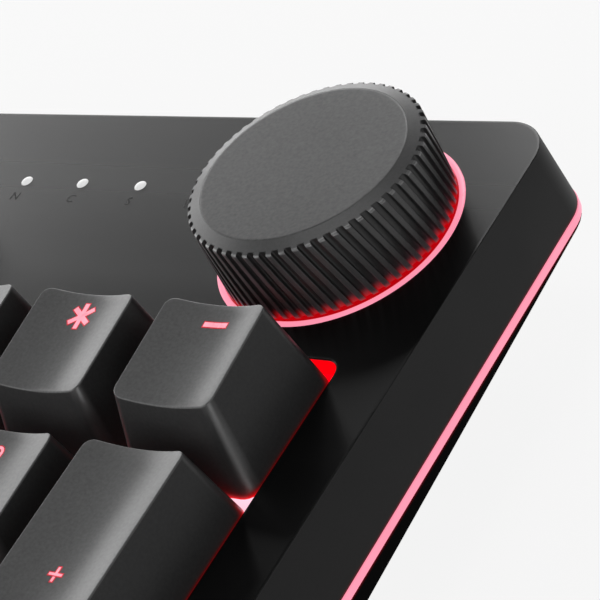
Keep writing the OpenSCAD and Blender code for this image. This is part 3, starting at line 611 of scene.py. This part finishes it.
def flat_text(text, size, offset):
    """Points and faces of a word from the built-in font, about its middle."""
    curve = bpy.data.curves.new("word", "FONT")
    curve.body = text
    curve.size = size
    curve.offset = offset
    curve.align_x = "CENTER"
    curve.align_y = "CENTER"
    curve.resolution_u = 4
    obj = link(bpy.data.objects.new("word", curve))
    bpy.context.view_layer.update()
    mesh = obj.evaluated_get(bpy.context.evaluated_depsgraph_get()).to_mesh()
    verts = [(v.co.x, v.co.y) for v in mesh.vertices]
    faces = [tuple(p.vertices) for p in mesh.polygons]
    bpy.data.objects.remove(obj)
    bpy.data.curves.remove(curve)
    return verts, faces


def strokes(lines, width):
    """Bars with the given width along straight lines, cut across into short pieces."""
    verts, faces = [], []
    parts = 6
    for (x0, y0), (x1, y1) in lines:
        along = Vector((x1 - x0, y1 - y0)).normalized()
        side = Vector((-along.y, along.x)) * width / 2
        start = len(verts)
        for k in range(parts + 1):
            p = Vector((lerp(x0, x1, k / parts), lerp(y0, y1, k / parts)))
            verts.append(tuple(p - side))
            verts.append(tuple(p + side))
        for k in range(parts):
            a = start + 2 * k
            faces.append((a, a + 2, a + 3, a + 1))
    return verts, faces


# Signs on the caps: the two seen in the photograph have their own shape and place
MINUS_HALF = 1.66
MINUS_W = 0.64
STAR_TURNS = (92, 36, 146)
STAR_R = 1.78
STAR_W = 0.62
ARROWS = {"up": (0, 1), "left": (-1, 0), "down": (0, -1), "right": (1, 0)}
ARROW_HALF = 1.6
ARROW_BACK = 1.2
ARROW_SIDE = 1.1
ARROW_W = 0.5
LETTER_SIZE = 3.9
WORD_SIZE = 2.7
SIGN_PLACE = {"-": (1.0, 4.8), "*": (0.3, 4.4)}
SIGN_Y = 3.9
# A bright sign lies over a wider, darker one: how much wider all round, and the height over the cap
SIGN_LAYERS = ((0.0, 0.03), (0.13, 0.015))


def sign_shape(text, edge):
    """A legend's flat shape, wider by edge all round."""
    if text == "-":
        return strokes([((-MINUS_HALF - edge, 0), (MINUS_HALF + edge, 0))], MINUS_W + 2 * edge)
    if text == "*":
        arms = []
        for degrees in STAR_TURNS:
            a = math.radians(degrees)
            tip = Vector((math.cos(a), math.sin(a))) * (STAR_R + edge)
            arms.append((tuple(-tip), tuple(tip)))
        return strokes(arms, STAR_W + 2 * edge)
    if text in ARROWS:
        ahead = Vector(ARROWS[text])
        aside = Vector((ahead.y, ahead.x))
        tip = ahead * ARROW_HALF
        lines = [(-tip, tip)]
        for side in (-ARROW_SIDE, ARROW_SIDE):
            lines.append((tip - ahead * ARROW_BACK + aside * side, tip))
        return strokes(lines, ARROW_W + 2 * edge)
    return flat_text(text, LETTER_SIZE if len(text) == 1 else WORD_SIZE, edge)


def key_line(row, profile, widths, words, u=0.0):
    keys = []
    for wide, word in zip(widths, words):
        keys.append((u, row, wide, 1, profile, word))
        u += wide
    return keys


# Keys of each node: first unit, row, width and depth in units, shape of the cap, sign
FUNCTION_U = [0, 2, 3, 4, 5, 6.5, 7.5, 8.5, 9.5, 11, 12, 13, 14]
FUNCTION_WORDS = ["Esc"] + [f"F{i}" for i in range(1, 13)]
KEYS = {
    "function_row_keys": [(u, FUNCTION_ROW, 1, 1, 0, w) for u, w in zip(FUNCTION_U, FUNCTION_WORDS)],
    "system_keys_group": key_line(FUNCTION_ROW, 0, [1] * 3, ["PrtSc", "ScrLk", "Pause"], NAV_U),
    "number_row_keys": key_line(0, 0, [1] * 13 + [2], [*"`1234567890-=", "Backspace"]),
    "top_letter_row_keys": key_line(1, 1, [1.5] + [1] * 12 + [1.5], ["Tab", *"QWERTYUIOP[]\\"]),
    "home_row_keys": key_line(2, 2, [1.75] + [1] * 11 + [2.25], ["Caps", *"ASDFGHJKL;'", "Enter"]),
    "shift_row_keys": key_line(3, 3, [2.25] + [1] * 10 + [2.75], ["Shift", *"ZXCVBNM,./", "Shift"]),
    "bottom_row_keys": key_line(4, 3, [1.25] * 3 + [6.25] + [1.25] * 4,
                                ["Ctrl", "Meta", "Alt", "", "Alt", "Fn", "Menu", "Ctrl"]),
    "navigation_keys_group": key_line(0, 0, [1] * 3, ["Ins", "Home", "PgUp"], NAV_U)
    + key_line(1, 1, [1] * 3, ["Del", "End", "PgDn"], NAV_U),
    "arrow_keys_group": [(NAV_U + 1, 3, 1, 1, 3, "up")]
    + key_line(4, 3, [1] * 3, ["left", "down", "right"], NAV_U),
    "key_num_lock": [(PAD_U, 0, 1, 1, 0, "Num")],
    "key_divide": [(PAD_U + 1, 0, 1, 1, 0, "/")],
    "key_multiply": [(PAD_U + 2, 0, 1, 1, 0, "*")],
    "key_subtract": [(PAD_U + 3, 0, 1, 1, 0, "-")],
    "key_7": [(PAD_U, 1, 1, 1, 1, "7")],
    "key_8": [(PAD_U + 1, 1, 1, 1, 1, "8")],
    "key_9": [(PAD_U + 2, 1, 1, 1, 1, "9")],
    "key_add": [(PAD_U + 3, 1.5, 1, 2, 1, "+")],
    "key_4": [(PAD_U, 2, 1, 1, 2, "4")],
    "key_5": [(PAD_U + 1, 2, 1, 1, 2, "5")],
    "key_6": [(PAD_U + 2, 2, 1, 1, 2, "6")],
    "key_1": [(PAD_U, 3, 1, 1, 3, "1")],
    "key_2": [(PAD_U + 1, 3, 1, 1, 3, "2")],
    "key_3": [(PAD_U + 2, 3, 1, 1, 3, "3")],
    "key_enter": [(PAD_U + 3, 3.5, 1, 2, 3, "Enter")],
    "key_0": [(PAD_U, 4, 2, 1, 3, "0")],
    "key_decimal": [(PAD_U + 2, 4, 1, 1, 3, ".")],
}


def build_keys(node, keys):
    caps, cap_faces, cap_slots, cap_edges = [], [], [], []
    signs, sign_faces, sign_slots = [], [], []
    for u, row, wide, deep, profile, word in keys:
        x, y = key_x(u + wide / 2), row_y(row)
        cap = Cap(wide, deep, profile, CAP_DISH if word else SPACE_CROWN)
        for verts, faces, slots, edges in (cap.build(), stem_shape()):
            start = len(caps)
            caps += [(px + x, py + y, pz) for px, py, pz in verts]
            cap_faces += [tuple(start + i for i in face) for face in faces]
            cap_slots += slots
            cap_edges += edges
        if not word:
            continue
        sx, sy = SIGN_PLACE.get(word, (0, SIGN_Y if deep == 1 else 0))
        for slot, (edge, lift) in enumerate(SIGN_LAYERS):
            verts, faces = sign_shape(word, edge)
            start = len(signs)
            signs += [(px + sx + x, py + sy + y, cap.top(px + sx, py + sy) + lift) for px, py in verts]
            sign_faces += [tuple(start + i for i in face) for face in faces]
            sign_slots += [slot] * len(faces)
    body = node + "_body"
    looks = [cap_sides_painted_shade_and_light, stem_plastic, cap_tops_painted_light]
    obj = make_piece("caps_" + node, caps, cap_faces, body, looks, cap_slots)
    obj.data.attributes.new("edge", "FLOAT", "POINT").data.foreach_set("value", cap_edges)
    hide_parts(node)
    if signs:
        make_piece("signs_" + node, signs, sign_faces, body, [legend_glow, legend_edge], sign_slots)


for node, keys in KEYS.items():
    build_keys(node, keys)


# Top case: deck with its wells, and the leaning wall
CASE_STEPS = 16
WELL_STEPS = 8
WELL_R = 2.0
WELL_INNER_R = 0.3
# How far a well's sides lie outside the grid of key units: gap to the caps less half a gap between caps
HALF_GAP = (PITCH - CAP_BASE) / 2
WELL_SIDE = 0.1 - HALF_GAP
WELL_REAR = 1.85 - HALF_GAP
WELL_FRONT = 0.6 - HALF_GAP


def well_corners(u, row, wide, deep):
    x0, x1 = key_x(u) - WELL_SIDE, key_x(u + wide) + WELL_SIDE
    y1 = row_y(row) + PITCH / 2 + WELL_REAR
    y0 = row_y(row + deep - 1) - PITCH / 2 - WELL_FRONT
    return rectangle(x0, y0, x1, y1)


def well_shapes():
    shapes = [well_corners(0, FUNCTION_ROW, 1, 1)]
    shapes += [well_corners(u, FUNCTION_ROW, 4, 1) for u in (2, 6.5, 11)]
    shapes += [
        well_corners(NAV_U, FUNCTION_ROW, 3, 1), well_corners(0, 0, 15, 5), well_corners(NAV_U, 0, 3, 2),
        well_corners(PAD_U, 0, 4, 5),
    ]
    shapes = [(corners, [WELL_R] * 4) for corners in shapes]
    stem = well_corners(NAV_U + 1, 3, 1, 2)
    bar = well_corners(NAV_U, 4, 3, 1)
    right, left = (stem[2][0], bar[2][1]), (stem[3][0], bar[3][1])
    tee = [bar[0], bar[1], bar[2], right, stem[2], stem[3], left, bar[3]]
    shapes.append((tee, [WELL_INNER_R if p in (right, left) else WELL_R for p in tee]))
    return shapes


class Builder:
    """Points and faces of one mesh, built from loops."""

    def __init__(self):
        self.verts = []
        self.faces = []
        self.slots = []

    def loop(self, points, z):
        start = len(self.verts)
        self.verts += [(x, y, z) for x, y in points]
        return list(range(start, len(self.verts)))

    def face(self, points, slot=0):
        self.faces.append(tuple(points))
        self.slots.append(slot)

    def wall(self, a, b, slot=0, skip=None):
        """Faces between two loops, all with one material slot or each with its own, but for one left out."""
        n = len(a)
        slots = slot if isinstance(slot, list) else [slot] * n
        for i in range(n):
            j = (i + 1) % n
            if i != skip:
                self.face((a[i], a[j], b[j], b[i]), slots[i])

    def sheet(self, outer, holes, up):
        """Flat face inside a loop, with holes."""
        bm = bmesh.new()
        edges = []
        back = {}
        for loop in (outer, *holes):
            made = []
            for i in loop:
                v = bm.verts.new(self.verts[i])
                made.append(v)
                back[v] = i
            edges += [bm.edges.new((made[k - 1], made[k])) for k in range(len(made))]
        bmesh.ops.triangle_fill(bm, use_beauty=True, use_dissolve=False, edges=edges, normal=(0, 0, 1))
        for face in bm.faces:
            face.normal_update()
            order = [back[v] for v in face.verts]
            self.face(order if (face.normal.z > 0) == up else reversed(order))
        bm.free()


def case_corners(grow):
    return grown(rectangle(-CASE_W / 2, -CASE_D / 2, CASE_W / 2, CASE_D / 2), grow)


def circle(x, y, r, steps):
    turns = [2 * math.pi * k / steps for k in range(steps)]
    return [(x + r * math.cos(a), y + r * math.sin(a)) for a in turns]


def build_top_case():
    """One shell: deck, outer wall with the inlet slot, wells, seats of the ring and the lenses."""
    b = Builder()
    slot = 3 * (CASE_STEPS + 1)

    def outer(grow, z):
        """Loop round the case, with two more points at the slot's sides."""
        points = rounded_loop(case_corners(grow), [CORNER_R + min(grow, 0)] * 4, CASE_STEPS)
        rear = points[slot][1]
        points[slot:slot] = [(SLOT_X + SLOT_W / 2, rear), (SLOT_X - SLOT_W / 2, rear)]
        return b.loop(points, z)

    rings = [outer(-OUTER_EDGE_R - FLAT_EDGE, 0)]
    for k in range(5):
        a = math.pi / 2 * k / 4
        rings.append(outer(-OUTER_EDGE_R * (1 - math.sin(a)), -OUTER_EDGE_R * (1 - math.cos(a))))
    wall_top = len(rings) - 1
    rings.append(outer(FLARE * -SLOT_TOP / WALL_H, SLOT_TOP))
    rings.append(outer(FLARE * (WALL_H - LOW_EDGE) / WALL_H, -WALL_H + LOW_EDGE))
    rings.append(outer(FLARE - LOW_EDGE, -WALL_H))
    rings.append(outer(FLARE - WALL_T, -WALL_H))
    rings.append(outer(FLARE * (SLOT_TOP + DECK_T) / (DECK_T - WALL_H) - WALL_T, SLOT_TOP))
    rings.append(outer(-WALL_T, -DECK_T))
    cut = rings[wall_top + 1:-1]
    for i, (high, low) in enumerate(zip(rings, rings[1:])):
        b.wall(low, high, 1 if i >= wall_top else 0, slot if high in cut[:-1] else None)
    b.face([cut[-1][slot], cut[-1][slot + 1], cut[0][slot + 1], cut[0][slot]], 1)
    b.face([ring[slot] for ring in cut], 1)
    b.face([ring[slot + 1] for ring in reversed(cut)], 1)
    tops, bottoms = [], []
    for corners, radii in well_shapes():
        margin = EDGE_R + FLAT_EDGE
        previous = b.loop(rounded_loop(grown(corners, margin), [r + margin for r in radii], WELL_STEPS), 0)
        tops.append(previous)
        for k in range(4):
            a = math.pi / 2 * k / 3
            grow = EDGE_R * (1 - math.sin(a))
            loop = b.loop(rounded_loop(grown(corners, grow), [r + grow for r in radii], WELL_STEPS),
                          -EDGE_R * (1 - math.cos(a)))
            b.wall(previous, loop)
            previous = loop
        low = b.loop(rounded_loop(corners, radii, WELL_STEPS), -DECK_T)
        # The wells' walls take slot 2, painted with the plate's red light
        b.wall(previous, low, 2)
        bottoms.append(low)
    seat_in, seat_out = RING_R - RING_INNER, RING_R + RING_PLAY
    seat = [(seat_out, 0), (seat_out, -RING_SEAT), (seat_in, -RING_SEAT), (seat_in, 0),
            (NECK_HOLE_R, 0), (NECK_HOLE_R, -DECK_T)]
    loops = [b.loop(circle(KNOB_X, KNOB_Y, r, SEAT_STEPS), z) for r, z in seat]
    for high, low in zip(loops, loops[1:]):
        b.wall(high, low)
    tops.append(loops[0])
    bottoms.append(loops[-1])
    for i in range(len(LENS_LETTERS)):
        place = (LENS_X + i * LENS_PITCH, LENS_Y, LENS_R, LENS_STEPS)
        high, low = b.loop(circle(*place), 0), b.loop(circle(*place), -DECK_T)
        b.wall(high, low)
        tops.append(high)
        bottoms.append(low)
    b.sheet(rings[0], tops, True)
    b.sheet(rings[-1], bottoms, False)
    obj = make_piece("deck_shell", b.verts, b.faces, "case", [deck_paint, wall_painted_foot_light, well_painted_light], b.slots,
                     smooth_deg=30)
    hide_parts("top_case")


build_top_case()


# Knob
def groove_shape():
    """Points (along the rim, depth) of one groove and the rib after it."""
    half = GROOVE_W / math.cos(GROOVE_SLANT) / 2
    steps = 8
    points = [(-half - GROOVE_EDGE, 0.0)]
    for k in range(steps + 1):
        a = math.pi * k / steps
        along = -math.copysign(math.sqrt(abs(math.cos(a))), math.cos(a)) * half
        points.append((along, GROOVE_LIP + (GROOVE_DEPTH - GROOVE_LIP) * math.sqrt(math.sin(a))))
    points += [(half + GROOVE_EDGE, 0.0), (math.pi * KNOB_R / GROOVES, 0.0)]
    return points


def knob_profile():
    """Outer half section of the knob, from its lower edge to past the grooves, and the rim's steps in it."""
    slope = RIM_DROP / (KNOB_R - RIM_EDGE - DISC_R)
    corner = Vector((KNOB_R, KNOB_TOP - RIM_DROP - RIM_EDGE * slope))
    start = corner - Vector((0, RIM_EDGE))
    end = Vector((KNOB_R - RIM_EDGE, KNOB_TOP - RIM_DROP))
    profile = [(KNOB_R - LOW_EDGE, KNOB_BOTTOM)]
    steps = 6
    for k in range(steps):
        profile.append((KNOB_R, lerp(KNOB_BOTTOM + LOW_EDGE, start.y, k / steps)))
    rim = range(len(profile), len(profile) + len(BENDS) - 1)
    profile += [bend(start, corner, end, t) for t in BENDS]
    steps = 10
    grooves_in = GROOVE_DEPTH + GROOVE_LIP
    for k in range(1, steps + 1):
        r = KNOB_R - lerp(RIM_EDGE, grooves_in, k / steps)
        profile.append((r, KNOB_TOP - (r - DISC_R) * slope))
    return profile, rim


def build_knob():
    """Hollow body whose slanted grooves turn with the height."""
    b = Builder()
    shape = groove_shape()
    middle = (KNOB_TOP + KNOB_BOTTOM) / 2
    cuts = []
    for i in range(GROOVES):
        centre = 2 * math.pi * i / GROOVES
        cuts += [(centre + along / KNOB_R, depth) for along, depth in shape]
    in_groove = [depth > 0 for _, depth in shape]
    then = in_groove[1:] + in_groove[:1]
    # Slot 1, the grooves' faces, takes the darker copy with painted shade
    slots = [int(a and c) for a, c in zip(in_groove, then)] * GROOVES
    # The rounded rim edge between the grooves takes slot 2, the lighter copy with the painted highlight
    rim_slots = [slot or 2 for slot in slots]

    def ring(r, z):
        points = []
        turn = (middle - z) * math.tan(GROOVE_SLANT) / KNOB_R
        for angle, depth in cuts:
            angle += turn
            near = min(r, KNOB_R - depth)
            points.append((KNOB_X + near * math.cos(angle), KNOB_Y + near * math.sin(angle)))
        return b.loop(points, z)

    under = [(BORE_R, BORE_Z), (BORE_R, HUB_Z), (HUB_R, HUB_Z), (HUB_R, KNOB_HOLLOW_Z),
             (KNOB_HOLLOW_R, KNOB_HOLLOW_Z), (KNOB_HOLLOW_R, KNOB_BOTTOM)]
    seat_r = DISC_R + DISC_PLAY
    seat = [(seat_r, KNOB_TOP), (seat_r, KNOB_TOP - DISC_T)]
    profile, rim = knob_profile()
    rings = [ring(r, z) for r, z in under + profile + seat]
    for i, (a, c) in enumerate(zip(rings, rings[1:])):
        step = i - len(under)
        outside = 0 <= step < len(profile) - 1
        b.wall(a, c, rim_slots if step in rim else slots if outside else 0)
    b.sheet(rings[-1], [], True)
    b.sheet(rings[0], [], False)
    obj = make_piece("knob_shell", b.verts, b.faces, "knob", [knob_metal_painted_foot_light, groove_painted_shade_and_light, rim_painted_highlight], b.slots)
    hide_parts("knob_body")


def build_disc():
    """Flat inlay with a small round at its edge."""
    b = Builder()
    bend_in = ROUND_IN * DISC_EDGE
    profile = [
        (DISC_R, KNOB_TOP - DISC_T), (DISC_R, KNOB_TOP - DISC_EDGE), (DISC_R - bend_in, KNOB_TOP - bend_in),
        (DISC_R - DISC_EDGE, KNOB_TOP), (DISC_R - DISC_EDGE - FLAT_EDGE, KNOB_TOP),
    ]
    rings = [b.loop(circle(KNOB_X, KNOB_Y, r, RING_STEPS), z) for r, z in profile]
    for low, high in zip(rings, rings[1:]):
        b.wall(low, high)
    b.sheet(rings[-1], [], True)
    b.sheet(rings[0], [], False)
    obj = make_piece("disc_plate", b.verts, b.faces, "knob", [disc_metal])
    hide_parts("knob_top_disc")


def build_ring():
    """Light guide: a low rim with rounded edges, and the shelf inside it."""
    b = Builder()
    inner = RING_R - RING_RIM
    shelf_in = RING_R - RING_INNER + RING_PLAY
    edge, bend_in = RING_EDGE, ROUND_IN * RING_EDGE
    profile = [
        (RING_R, -RING_SEAT), (RING_R, RING_TOP - edge), (RING_R - bend_in, RING_TOP - bend_in),
        (RING_R - edge, RING_TOP), (inner + edge, RING_TOP), (inner + bend_in, RING_TOP - bend_in),
        (inner, RING_TOP - edge), (inner, -RING_SHELF), (shelf_in, -RING_SHELF), (shelf_in, -RING_SEAT),
    ]
    rings = [b.loop(circle(KNOB_X, KNOB_Y, r, RING_STEPS), z) for r, z in profile]
    for low, high in zip(rings, rings[1:] + rings[:1]):
        b.wall(low, high)
    obj = make_piece("ring_guide", b.verts, b.faces, "case", [ring_light_painted_shelf_shade])
    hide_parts("knob_light_ring")


build_knob()
build_disc()
build_ring()


# Small things on the deck
def build_lenses():
    """Four low domes with a short neck into the deck."""
    b = Builder()
    profile = [(LENS_R, -DECK_T)]
    for degrees in range(0, 90, 15):
        a = math.radians(degrees)
        profile.append((LENS_R * math.cos(a), LENS_LOW + LENS_DOME * math.sin(a)))
    for i in range(len(LENS_LETTERS)):
        rings = [b.loop(circle(LENS_X + i * LENS_PITCH, LENS_Y, r, LENS_STEPS), z) for r, z in profile]
        for low, high in zip(rings, rings[1:]):
            b.wall(low, high)
        b.sheet(rings[-1], [], True)
        b.sheet(rings[0], [], False)
    obj = make_piece("lens_domes", b.verts, b.faces, "case", [lens_white])
    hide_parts("indicator_lenses")


def build_glyphs():
    """Printed letters in front of the lenses."""
    verts, faces = [], []
    for i, letter in enumerate(LENS_LETTERS):
        points, polygons = flat_text(letter, GLYPH_SIZE, 0.0)
        start = len(verts)
        verts += [(x + LENS_X + i * LENS_PITCH, y + GLYPH_Y, GLYPH_LIFT) for x, y in points]
        faces += [tuple(start + k for k in polygon) for polygon in polygons]
    make_piece("lens_letters", verts, faces, "case", [print_ink])


build_lenses()
build_glyphs()


# Stage: a floor that is flat near the object and curves up far away, in metres: radius and height
FLOOR_PROFILE = [(3.5, 0), (4.0, 0), (4.4, 0.06), (4.7, 0.2), (4.9, 0.45), (5.0, 0.8), (5.0, 1.7)]
FLOOR_STEPS = 64
# How much of the floor is plain white for each kind of ray. The rest is paint, which takes shadows.
FLOOR_WHITE = {"Is Camera Ray": 0.9, "Is Glossy Ray": 0.35, "Is Transmission Ray": 0.9}


def floor_paint():
    material, tree, out = new_material("floor_paint")
    path = tree.nodes.new("ShaderNodeLightPath")
    share = None
    for kind, part in FLOOR_WHITE.items():
        scaled = tree.nodes.new("ShaderNodeMath")
        scaled.operation = "MULTIPLY_ADD"
        scaled.inputs[1].default_value = part
        scaled.inputs[2].default_value = 0.0
        tree.links.new(path.outputs[kind], scaled.inputs[0])
        if share:
            tree.links.new(share.outputs["Value"], scaled.inputs[2])
        share = scaled
    paint = tree.nodes.new("ShaderNodeBsdfDiffuse")
    grain = noise(tree, coordinates(tree, (1, 1, 1)), 40)
    tree.links.new(mixed(tree, grain, (0.86, 0.86, 0.86), (0.9, 0.9, 0.9)), paint.inputs["Color"])
    glow = tree.nodes.new("ShaderNodeEmission")
    glow.inputs["Color"].default_value = (0.99, 0.99, 0.99, 1)
    mix = tree.nodes.new("ShaderNodeMixShader")
    tree.links.new(share.outputs["Value"], mix.inputs["Fac"])
    tree.links.new(paint.outputs["BSDF"], mix.inputs[1])
    tree.links.new(glow.outputs["Emission"], mix.inputs[2])
    tree.links.new(mix.outputs["Shader"], out.inputs["Surface"])
    return material


def make_floor():
    b = Builder()
    rings = [b.loop(circle(0, 0, r, FLOOR_STEPS), z) for r, z in FLOOR_PROFILE]
    b.face(rings[0])
    for inner, outer in zip(rings, rings[1:]):
        b.wall(outer, inner)
    mesh = bpy.data.meshes.new("floor")
    mesh.from_pydata(b.verts, [], b.faces)
    mesh.shade_smooth()
    mesh.materials.append(floor_paint())
    link(bpy.data.objects.new("floor", mesh))


make_floor()

# Camera fitted to the photograph: its place and axes in the deck's frame, its focal length in pixels
CAMERA_AT = (367.89, -99.37, 153.07)
CAMERA_RIGHT = (0.78043, 0.47680, -0.40447)
CAMERA_DOWN = (0.06101, -0.70188, -0.70967)
CAMERA_AHEAD = (-0.62226, 0.52917, -0.57686)
FOCAL_PX = 2315
LIFT_PX = 0.9
IMAGE_PX = 600
SENSOR_MM = 36


def make_camera():
    data = bpy.data.cameras.new("camera")
    data.sensor_width = SENSOR_MM
    data.lens = SENSOR_MM * FOCAL_PX / IMAGE_PX
    data.shift_y = -LIFT_PX / IMAGE_PX
    data.clip_start = 0.01
    data.clip_end = 50
    obj = link(bpy.data.objects.new("camera", data))
    axes = [TURN @ Vector(CAMERA_RIGHT), TURN @ -Vector(CAMERA_DOWN), TURN @ -Vector(CAMERA_AHEAD)]
    matrix = Matrix(axes).transposed().to_4x4()
    matrix.translation = DECK @ Vector(CAMERA_AT)
    obj.matrix_world = matrix
    bpy.context.scene.camera = obj


make_camera()

# Lamps stand round a point between the pad and the knob, at a distance in metres
AIM = DECK @ Vector((200, 35, 5))
LAMP_DISTANCE = 1.2


def softbox(name, azimuth, elevation, width, height, radiance):
    """Area lamp that faces the object. Azimuth 0 is behind it, 90 on its right."""
    data = bpy.data.lights.new(name, "AREA")
    data.shape = "RECTANGLE"
    data.size = width
    data.size_y = height
    data.energy = math.pi * width * height * radiance
    a, e = math.radians(azimuth), math.radians(elevation)
    away = Vector((math.sin(a) * math.cos(e), math.cos(a) * math.cos(e), math.sin(e)))
    obj = link(bpy.data.objects.new(name, data))
    obj.location = AIM + away * LAMP_DISTANCE
    obj.rotation_euler = away.to_track_quat("Z", "Y").to_euler()
    obj.visible_camera = False


# Name, azimuth and elevation in degrees, width and height in metres, radiance
LAMPS = [
    ("low_left", -67, 7, 0.377, 0.295, 0.4),
    ("low_rear_left", -49, 7, 0.377, 0.295, 4.2),
    ("low_rear", -30, 7, 0.420, 0.295, 4.0),
    ("mid_left", -67, 21.5, 0.354, 0.335, 3.0),
    ("mid_rear_left", -49, 21.5, 0.354, 0.335, 1.65),
    ("mid_rear", -30, 21.5, 0.394, 0.335, 0.3),
    ("high_left", -67, 36, 0.308, 0.315, 0.08),
    ("high_rear_left", -49, 36, 0.308, 0.315, 0.42),
    ("high_rear", -30, 36, 0.342, 0.315, 4.2),
    ("left", -94, 21.5, 0.726, 0.945, 2.15),
    ("overhead", -50, 86, 0.8, 0.5, 2.4),
    ("front", 160, 40, 0.7, 0.45, 0.9),
    ("front_right", 138, 8, 0.6, 0.4, 2.2),
    ("front_left", -150, 25, 0.9, 0.6, 2.2),
    ("right", 80, 25, 0.7, 0.5, 0.3),
]
for lamp in LAMPS:
    softbox(*lamp)

WORLD_LEVEL = 0.004
world = bpy.data.worlds.new("world")
world.use_nodes = True
background = world.node_tree.nodes["Background"]
background.inputs["Color"].default_value = (WORLD_LEVEL, WORLD_LEVEL, WORLD_LEVEL, 1)
bpy.context.scene.world = world
bpy.context.scene.view_settings.view_transform = "Standard"
